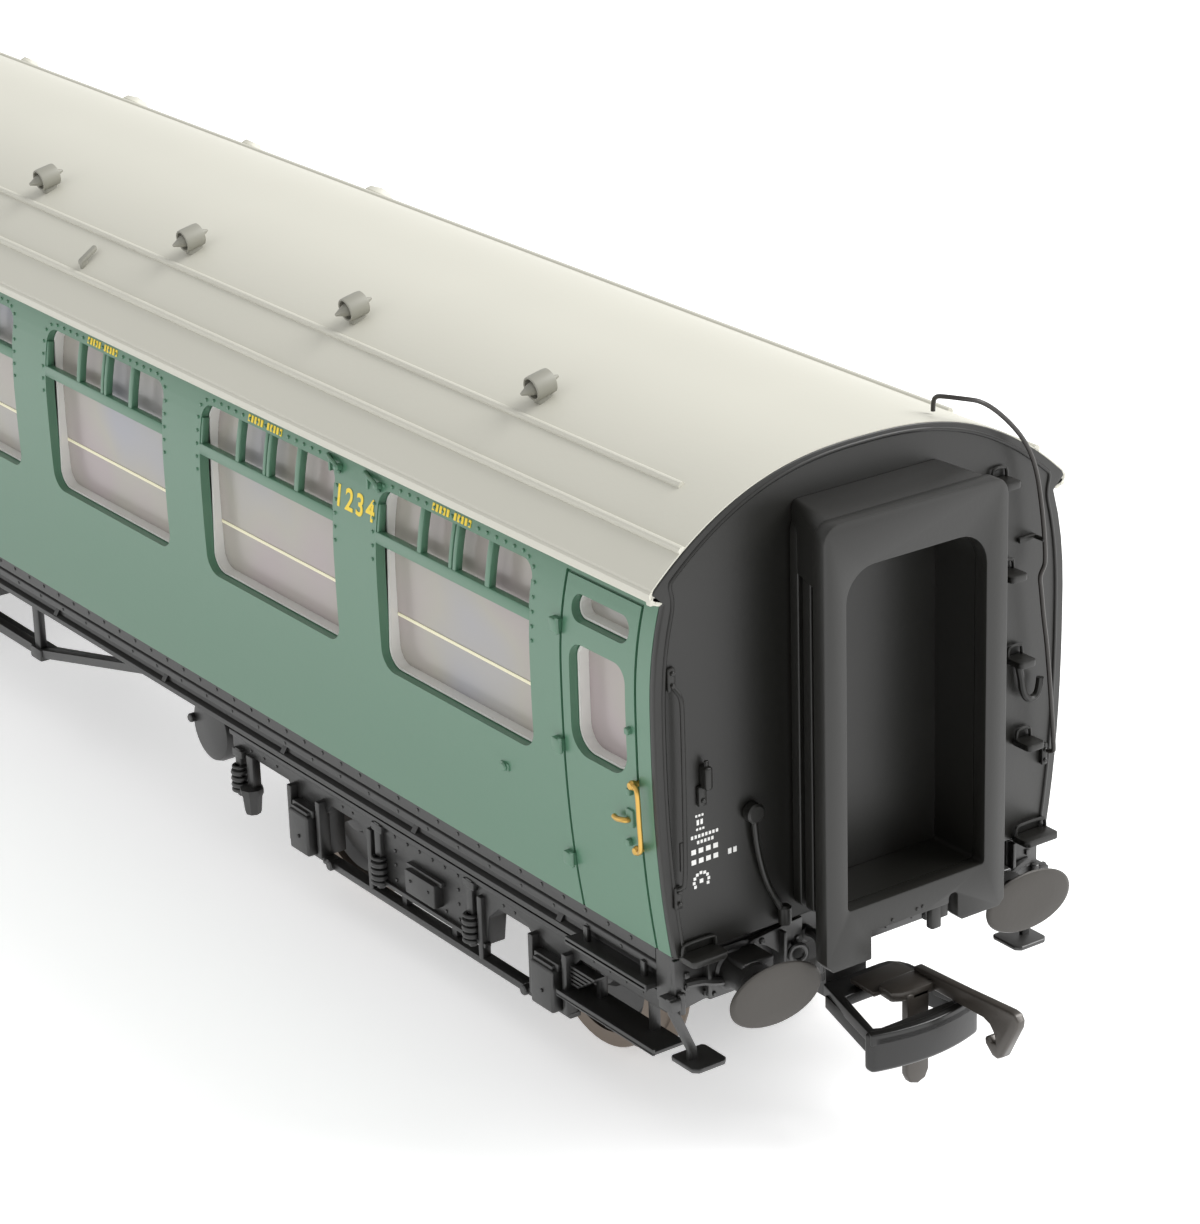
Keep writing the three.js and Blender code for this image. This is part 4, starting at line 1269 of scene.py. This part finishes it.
# Lamp iron, jumper cable with its socket and plug, and the fixings of the
# roof handrail.
end_parts += [
    block("lamp iron", off_end(0.9), (-14.55, -13.95), (29.6, 31.3), edge=0.2, segments=3),
    block("lamp iron foot", off_end(0.35), (-14.8, -14.1), (28.3, 29.8), edge=0.14),
    end_stud(-14.45, 28.75, 0.18, 0.3, 0.5),
    rod("lamp iron pin", "z", (end_x + 0.5, -14.25, 0), 0.16, 31.2, 31.7, edge=0.05, steps=8),
    end_stud(-10.3, 26.7, 0.72, 0, 0.9, edge=0.15, steps=24),
    end_wire([(0.5, -10.3, 26.2), (0.55, -10.25, 25.2), (0.5, -9.95, 23.4), (0.5, -9.4, 21.4),
              (0.5, -8.6, 19.7), (0.5, -8.0, 18.7)], 0.22, sides=3),
    rod("jumper plug", "z", (end_x + 0.55, -7.8, 0), 0.48, 17.5, 19.0, edge=0.15, steps=14),
    block("slot plate", off_end(0.08), (-16.25, -15.95), (23.9, 26.0), edge=0.03),
    end_wire([(0.4, 13.5, 31.2), (0.5, 13.7, 30.2), (0.5, 13.8, 29.3), (0.6, 14.1, 28.5),
              (0.6, 14.8, 28.3), (0.6, 15.3, 28.8), (0.6, 15.4, 29.8)], 0.28, sides=3),
    end_stud(15.1, 40.45, 0.16, 0, 1.2, steps=10),
    block("wire clip foot", off_end(0.3), (13.6, 15.2), (40.25, 40.65), edge=0.08),
    block("wire foot", off_end(0.3), (16.0, 16.55), (22.6, 24.3), edge=0.12),
    end_stud(16.25, 23.0, 0.16, 0.25, 0.45),
    end_stud(16.25, 23.8, 0.16, 0.25, 0.45),
]
fit_pair(joined("end", *end_parts), "end_full", ends, "coach", end_black, "end_black",
         "end_sheet_{}")

# --------------------
# Roof handrail: one length of stiff black wire that runs down the end from
# the roof, held by a clip half way and a foot near the floor.
wire_black = finish("wire black", (0.022, 0.019, 0.016), 0.35, patch=0.1)
handrail = wire("handrail", [
    (127.2, 7.4, 50.9), (127.2, 7.4, 51.6), (127.5, 7.4, 52.05), (128.4, 7.4, 52.25),
    (129.5, 8.0, 52.25),
    (130.1, 9.4, 51.9), (130.1, 11.5, 50.2), (130.1, 13.3, 48.15), (130.1, 14.33, 45.95),
    (130.1, 14.9, 42.85),
    (130.1, 15.2, 40.4), (130.1, 15.28, 38.9), (130.1, 15.2, 38.45), (130.1, 14.85, 37.95),
    (130.1, 14.8, 37.5),
    (130.1, 14.9, 37.0), (130.1, 15.2, 34.5), (130.1, 15.6, 32.2), (130.1, 16.4, 24.2),
    (130.0, 16.4, 23.8),
    (129.2, 16.4, 23.7)], 0.17, sides=3)
fit_pair(handrail, "roof_handrail", ends, "coach", wire_black, "wire_black", "end_handrail_{}")

# --------------------
# End markings: plain white bars and a broken ring of dots printed on the
# black end, in place of a panel of lettering.
white_print = finish("white print", (0.80, 0.80, 0.78), 0.6)
marks = []
mark_x = off_end(0.03)
for y0, y1, z, height, pitch in (
    (-15.3, -13.2, 25.95, 0.24, 0.30), (-14.8, -13.6, 25.5, 0.24, 0.30),
    (-15.3, -13.1, 24.8, 0.36, 0.62),
    (-15.3, -13.1, 24.05, 0.36, 0.62), (-12.2, -11.5, 24.0, 0.4, 0.45),
    (-14.9, -14.2, 27.5, 0.16, 0.26),
    (-14.8, -14.3, 26.9, 0.38, 0.32), (-14.85, -14.25, 26.5, 0.16, 0.26),
):
    for step in range(int((y1 - y0) / pitch) + 1):
        start = y0 + step * pitch
        marks.append(block("bar", mark_x, (start, start + pitch * 0.62), (z, z + height)))
for step in range(9):
    turn = math.pi * (step / 6 - 0.15)
    y, z = -14.5 + 0.62 * math.cos(turn), 22.7 + 0.62 * math.sin(turn)
    marks.append(block("bar", mark_x, span(y, 0.11), span(z, 0.11)))
marks.append(block("bar", mark_x, (-14.65, -14.35), (22.55, 22.85)))
fit_pair(joined("marks", *marks), "end_marks", ends, "coach", white_print, "end_black")


# --------------------
# Gangways: folded bellows under a hood, and a flat faceplate with two legs,
# black mouldings stuck to each end and open through the middle.
tunnel = rounded((-6.1, 6.1), (19.75, 44.6), 0.3, 2.4)


def fold(x, half, top, bottom, edge):
    """One pleat of the bellows, open in the middle."""
    ring = plate("fold", rounded((-half, half), (bottom, top), 0.5, 1.3), "x", x[0], x[1])
    hole = rounded((-6.25, 6.25), (19.6, 44.75), 0.3, 2.4) if edge else tunnel
    ring = cut(ring, plate("fold hole", hole, "x", x[0] - 1, x[1] + 1))
    if edge:
        bevel(ring, edge, 3)
    return ring


folds = [fold((129.05, 133.15), 6.33, 47.4, 18.7, 0)]
for x in (129.15, 130.5, 131.85):
    folds.append(fold((x, x + 0.9), 6.75, 47.4, 18.6, 0.28))
hood_back = rounded((-6.45, 6.45), (43.3, 48.25), 0.1, 0.5)
hood_front = rounded((-7.85, 7.85), (43.3, 48.0), 0.1, 1.3)
hood = plate("hood", hood_back, "x", 129.05, 133.6)
for vertex in hood.data.vertices:
    if vertex.co.x > 130 * mm:
        y, z = min(zip(hood_back, hood_front),
                   key=lambda pair: math.dist(pair[0], (vertex.co.y / mm, vertex.co.z / mm)))[1]
        vertex.co.y, vertex.co.z = y * mm, z * mm
hood = cut(hood, plate("hood hole", rounded((-6.2, 6.2), (19.6, 44.7), 0.3, 2.4), "x", 128, 135))
bevel(hood, 0.15, 3, 50)
fit_pair(joined("bellows", *folds, hood), "bellows_folded", ends, "coach", end_black, "end_black",
         "gangway_bellows_{}")

through = (132, 136)
face_outline = rounded((-8.0, 8.0), (15.5, 48.1), 0.6, 1.3)
face_plate = plate("face plate", face_outline, "x", 133.15, 134.4)
notch = block("notch", through, (-4.05, 3.7), (14, 17.6))
slot = plate("slot", rounded((2.9, 3.7), (16, 18.3), 0.05, 0.35), "x", *through)
foot_trim = block("foot trim", through, (3.0, 9.0), (14, 16.0))
foot_chamfers = [plate("foot chamfer", [(7.4, 15.9), (8.1, 16.6), (8.1, 15.9)], "x", *through),
                 plate("foot chamfer", [(3.6, 16.5), (4.2, 15.9), (3.6, 15.9)], "x", *through)]
leg_chamfer = plate("leg chamfer", [(-8.1, 16.3), (-7.3, 15.4), (-8.1, 15.4)], "x", *through)
face_plate = cut(face_plate, plate("face hole", tunnel, "x", *through), notch, slot, foot_trim,
                 *foot_chamfers, leg_chamfer)
bevel(face_plate, 0.1, 2)
flange = plate("flange", rounded((-7.5, 7.5), (18.4, 47.7), 0.4, 1.2), "x", 132.9, 133.2)
flange = cut(flange, plate("flange hole", rounded((-6.3, 6.3), (19.55, 44.8), 0.3, 2.4), "x",
                           *through))
peg = [block("peg", (133.4, 134.1), (1.6, 2.5), (15.8, 17.9), edge=0.15),
       block("peg", (133.4, 134.1), (2.3, 3.1), (16.5, 17.9), edge=0.12)]
peg_bolts = mesh_copies("peg bolts", rivet(0.15, 0.1, "x", 1, 8),
                        [(134.4, -2.2, 17.95), (134.4, 0.0, 18.1), (134.4, 0.5, 18.15)])
fit_pair(joined("face", face_plate, flange, *peg, peg_bolts), "gangway_face", ends, "coach",
         end_black, "end_black",
         "gangway_faceplate_{}")


# --------------------
# Studio: a wide white table and large soft lights, all round and above.
bpy.context.scene.view_settings.view_transform = "Standard"
bpy.ops.object.select_all(action="DESELECT")
bpy.ops.mesh.primitive_plane_add(size=6)
floor = bpy.context.object
floor.name = "studio_floor"
floor_white = bpy.data.materials.new("floor white")
floor_white.use_nodes = True
floor_shader = floor_white.node_tree.nodes["Principled BSDF"]
floor_shader.inputs["Base Color"].default_value = (0.92, 0.92, 0.92, 1)
floor_shader.inputs["Roughness"].default_value = 0.7
floor_shader.inputs["Emission Color"].default_value = (1, 1, 1, 1)
floor_shader.inputs["Emission Strength"].default_value = 0.46
floor.data.materials.append(floor_white)

world = bpy.data.worlds.new("studio")
world.use_nodes = True
world.node_tree.nodes["Background"].inputs["Color"].default_value = (1, 1, 1, 1)
world.node_tree.nodes["Background"].inputs["Strength"].default_value = 0.72
bpy.context.scene.world = world


def soft_light(name, place, size, power):
    lamp = bpy.data.lights.new(name, "AREA")
    lamp.shape = "SQUARE"
    lamp.size = size
    lamp.energy = power
    item = bpy.data.objects.new(name, lamp)
    bpy.context.collection.objects.link(item)
    item.location = place
    item.rotation_euler = (Vector((0.05, 0, 0.03)) - item.location).to_track_quat("-Z",
            "Y").to_euler()


soft_light("key", (0.58, 0.82, 0.85), 0.9, 19.0)
soft_light("near_fill", (0.1, -0.9, 0.5), 0.6, 0.4)
